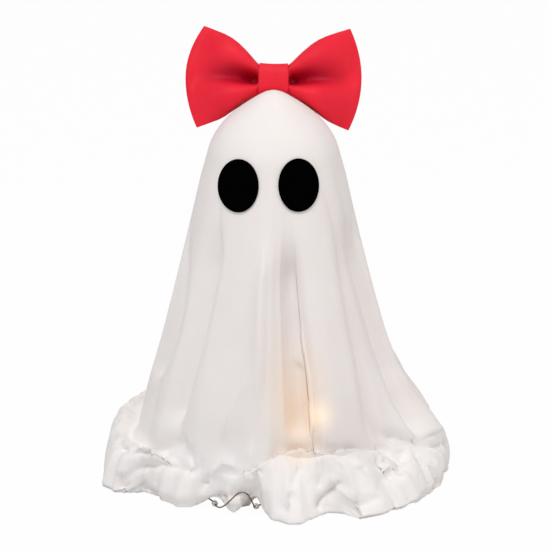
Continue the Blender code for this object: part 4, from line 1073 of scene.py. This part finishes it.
def make_bow(tree, place, satin):
    """The satin pocket: rings of points round it, from one end through the waist to the other."""
    builder = grid(2 * BOW_COLUMNS, 2 * BOW_ROWS)
    woven = builder.loops.layers.uv.new("woven")
    # painted shade: how dark the satin is painted deep in the pleat
    tucked = builder.verts.layers.float.new("tucked")
    spots = {}
    for vertex in builder.verts:
        side = -1.0 if vertex.co.x < 0 else 1.0
        out_share = abs(vertex.co.x)
        turn = (vertex.co.y + 1.0) * 0.5
        if turn > RING_END:
            turn = 0.0
        on_back = turn > 0.5
        sweep = 2.0 - turn * 2.0 if on_back else turn * 2.0
        up_share = -math.cos(math.pi * sweep)
        upper_left = side < 0 and up_share > 0
        corner = 0.5 * BOW_WIDTH * (UPPER_LEFT_CORNER_SHARE if upper_left else BOW_CORNER_SHARE)
        bulge = 0.5 * BOW_WIDTH - corner
        edge = bow_edge(out_share)
        across = mix(0.0 if out_share < NEAR_MIDDLE else BOW_NECK, corner, out_share)
        across += bulge * out_share ** 2 * (1.0 - up_share ** 2)
        puff = bow_puff(out_share, up_share)
        depth = BOW_SWEEP * out_share ** 2
        if on_back:
            depth += puff
        else:
            pleat = min(bow_pleat(out_share, up_share), PLEAT_MOST * puff)
            depth += pleat - puff
            # painted shade: the deeper the pleat, the darker the satin is painted
            vertex[tucked] = smooth((pleat / BOW_PLEAT - PLEAT_SHADE_FROM) / PLEAT_SHADE_SPAN)
        spots[vertex] = (side * across, turn * WOVEN_POCKET)
        if up_share < 0.0:
            edge += BOW_DROP * (1.0 - smooth(out_share / BOW_DROP_SHARE))
        vertex.co = place @ Vector((side * across, depth, up_share * edge))
    lay_uv(builder, woven, spots)
    bmesh.ops.remove_doubles(builder, verts=builder.verts, dist=MERGE)
    rims = [edge for edge in builder.edges if edge.is_boundary]
    bmesh.ops.edgeloop_fill(builder, edges=rims)
    press_off(builder, tree)
    bmesh.ops.recalc_face_normals(builder, faces=builder.faces)
    piece = finish_mesh("satin_bow", builder, satin, "cover", 60.0)
    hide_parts("bow")
    return piece


def squared(value):
    """A sine or cosine that rounds a ring towards a rectangle."""
    return math.copysign(abs(value) ** BAND_POWER, value)


def make_band(tree, place, satin):
    """The band wrapped round the bow's waist."""
    builder = grid(BAND_COLUMNS, BAND_ROWS)
    woven = builder.loops.layers.uv.new("woven")
    half = 0.5 * BAND_WIDTH - GAP
    high = 0.5 * BOW_WAIST_HEIGHT + GAP + BAND_WALL
    deep = 0.5 * BOW_WAIST_DEPTH + 0.5 * BAND_SEAT + GAP + BAND_WALL
    spots = {}
    for vertex in builder.verts:
        turn = math.pi * (vertex.co.y + 1.0) if vertex.co.y < RING_END else 0.0
        across = vertex.co.x
        depth = squared(math.cos(turn)) * deep
        height = squared(math.sin(turn)) * (1.0 - BAND_WAIST * (1.0 - across * across))
        height *= high if height > 0.0 else high + BOW_DROP
        spots[vertex] = (across * half, turn * WOVEN_BAND)
        drawn_in = 1.0 - BAND_WAIST * math.sin(turn) ** 2
        vertex.co = place @ Vector((across * half * drawn_in, depth, height))
    lay_uv(builder, woven, spots)
    bmesh.ops.remove_doubles(builder, verts=builder.verts, dist=MERGE)
    bmesh.ops.recalc_face_normals(builder, faces=builder.faces)
    press_off(builder, tree)
    piece = finish_mesh("satin_band", builder, satin, "cover", 0.0)
    add_modifier(piece, "SOLIDIFY", thickness=BAND_WALL * BAND_SOLID_SHARE, offset=-1.0)
    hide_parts("bow_band")


# Stand

def dress_stand():
    """Materials of the CAD nodes that stay: the stand, the lamps and the bow's glue pad."""
    beech = Finish("waxed_beech", (0.56, 0.37, 0.20), 0.5)
    grain = beech.stripes(beech.place((6.0, 60.0, 60.0)), 1.2, 4.0, "Y")
    flecks = beech.clouds(beech.place((60.0, 900.0, 900.0)), 1.0, 2.0)
    beech.vary(grain * 0.6 + flecks * 0.4, (0.44, 0.27, 0.13), (0.68, 0.48, 0.28))
    beech.roughen(beech.clouds(beech.place((1.0, 9.0, 9.0)), 20.0), 0.3, 0.7, 0.42, 0.6)
    beech.relief(grain * 0.4 + flecks, 0.00008, 0.5)
    dress("base_board", beech)
    dowel = Finish("raw_dowel", (0.70, 0.53, 0.33), 0.6)
    streaks = dowel.clouds(dowel.place((900.0, 900.0, 30.0)), 1.0, 4.0)
    dowel.vary(streaks, (0.55, 0.38, 0.20), (0.80, 0.63, 0.42))
    dowel.roughen(streaks, 0.3, 0.7, 0.5, 0.7)
    dowel.relief(streaks, 0.00010, 0.6)
    dress("post", dowel)
    foam = Finish("white_bead_foam", (0.88, 0.88, 0.86), 0.8, Specular_IOR_Level=0.3)
    beads = foam.cells(foam.place(), 330.0)
    foam.vary(foam.spread(beads, 0.0, 0.7), (0.92, 0.92, 0.90), (0.78, 0.78, 0.76))
    foam.roughen(beads, 0.0, 0.7, 0.62, 0.9)
    foam.relief(1.0 - beads, 0.00060, 0.8)
    dress("foam_head", foam)
    for node, name, colour, rough in (
            ("battery_box", "box_plastic", (0.80, 0.80, 0.78), 0.42),
            ("battery_door", "door_plastic", (0.75, 0.75, 0.73), 0.45),
            ("switch_knob", "knob_plastic", (0.02, 0.02, 0.02), 0.45)):
        plastic = Finish(name, colour, rough, Specular_IOR_Level=0.5)
        spark = plastic.clouds(plastic.place(), 2600.0, 2.0)
        scuffs = plastic.clouds(plastic.place(), 60.0, 5.0, 0.7)
        worn = tuple(0.93 * part for part in colour)
        plastic.vary(plastic.spread(scuffs, 0.4, 0.7), colour, worn)
        plastic.roughen(scuffs, 0.35, 0.7, rough - 0.06, rough + 0.12)
        plastic.relief(spark, 0.00004, 0.6)
        dress(node, plastic)
    jacket = Finish("cell_jacket", (0.03, 0.10, 0.05), 0.3, Coat_Weight=0.4)
    height = jacket.node("ShaderNodeSeparateXYZ", {}, {0: jacket.place()}, out=2)
    scuff = jacket.clouds(jacket.place(), 90.0, 4.0)
    foot, top = (corner.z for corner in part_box("cell_left"))
    collar = jacket.spread(height, mix(foot, top, 0.70), mix(foot, top, 0.71))
    jacket.vary(collar, (0.02, 0.09, 0.04), (0.62, 0.48, 0.22))
    jacket.roughen(scuff, 0.3, 0.7, 0.24, 0.42)
    jacket.relief(scuff, 0.00003, 0.4)
    for node in ("cell_left", "cell_right"):
        dress(node, jacket)
    steel = Finish("nickel_plate", (0.66, 0.65, 0.62), 0.28, Metallic=1.0)
    smear = steel.clouds(steel.place(), 240.0, 4.0)
    steel.vary(smear, (0.56, 0.55, 0.52), (0.74, 0.73, 0.70))
    steel.roughen(smear, 0.3, 0.7, 0.2, 0.4)
    for node in ("contact_link", "contact_positive", "contact_negative", "spring_left", "spring_right",
                 "switch_body"):
        dress(node, steel)
    tape = Finish("foam_tape", (0.84, 0.83, 0.78), 0.9)
    pores = tape.cells(tape.place(), 900.0)
    tape.vary(pores, (0.74, 0.73, 0.68), (0.88, 0.87, 0.83))
    tape.roughen(pores, 0.0, 0.7, 0.8, 1.0)
    tape.relief(pores, 0.00020, 0.7)
    dress("foam_tape", tape)
    glue = Finish("hot_glue", (0.84, 0.82, 0.74), 0.25, Specular_IOR_Level=0.5)
    ripple = glue.clouds(glue.place(), 160.0, 2.0)
    glue.vary(ripple, (0.80, 0.77, 0.68), (0.88, 0.86, 0.79))
    glue.roughen(ripple, 0.3, 0.7, 0.18, 0.35)
    glue.relief(ripple, 0.00030, 0.5)
    dress("bow_pad", glue)
    resin = Finish("lamp_resin", (0.92, 0.90, 0.86), 0.12, Transmission_Weight=0.35, IOR=1.5,
                   Emission_Strength=0.03)
    swirl = resin.clouds(resin.place(), 500.0, 2.0)
    resin.feed("Emission Color", resin.between(swirl, (1.0, 0.55, 0.18), (1.0, 0.78, 0.42)))
    resin.roughen(swirl, 0.3, 0.7, 0.06, 0.2)
    names = sorted(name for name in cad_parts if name.startswith("lamp_"))
    for name in names:
        dress(name, resin)
    return names


make_camera()
lamps = dress_stand()
make_string()
draped_cloth, cloth_tree = make_cover()
make_eyes(cloth_tree)
bow_place = bow_frame()
red = satin_finish("red_satin", (0.90, 0.022, 0.046), (0.80, 0.016, 0.038))
bow = make_bow(cloth_tree, bow_place, red)
make_band(cloth_tree, bow_place, red)
make_studio()
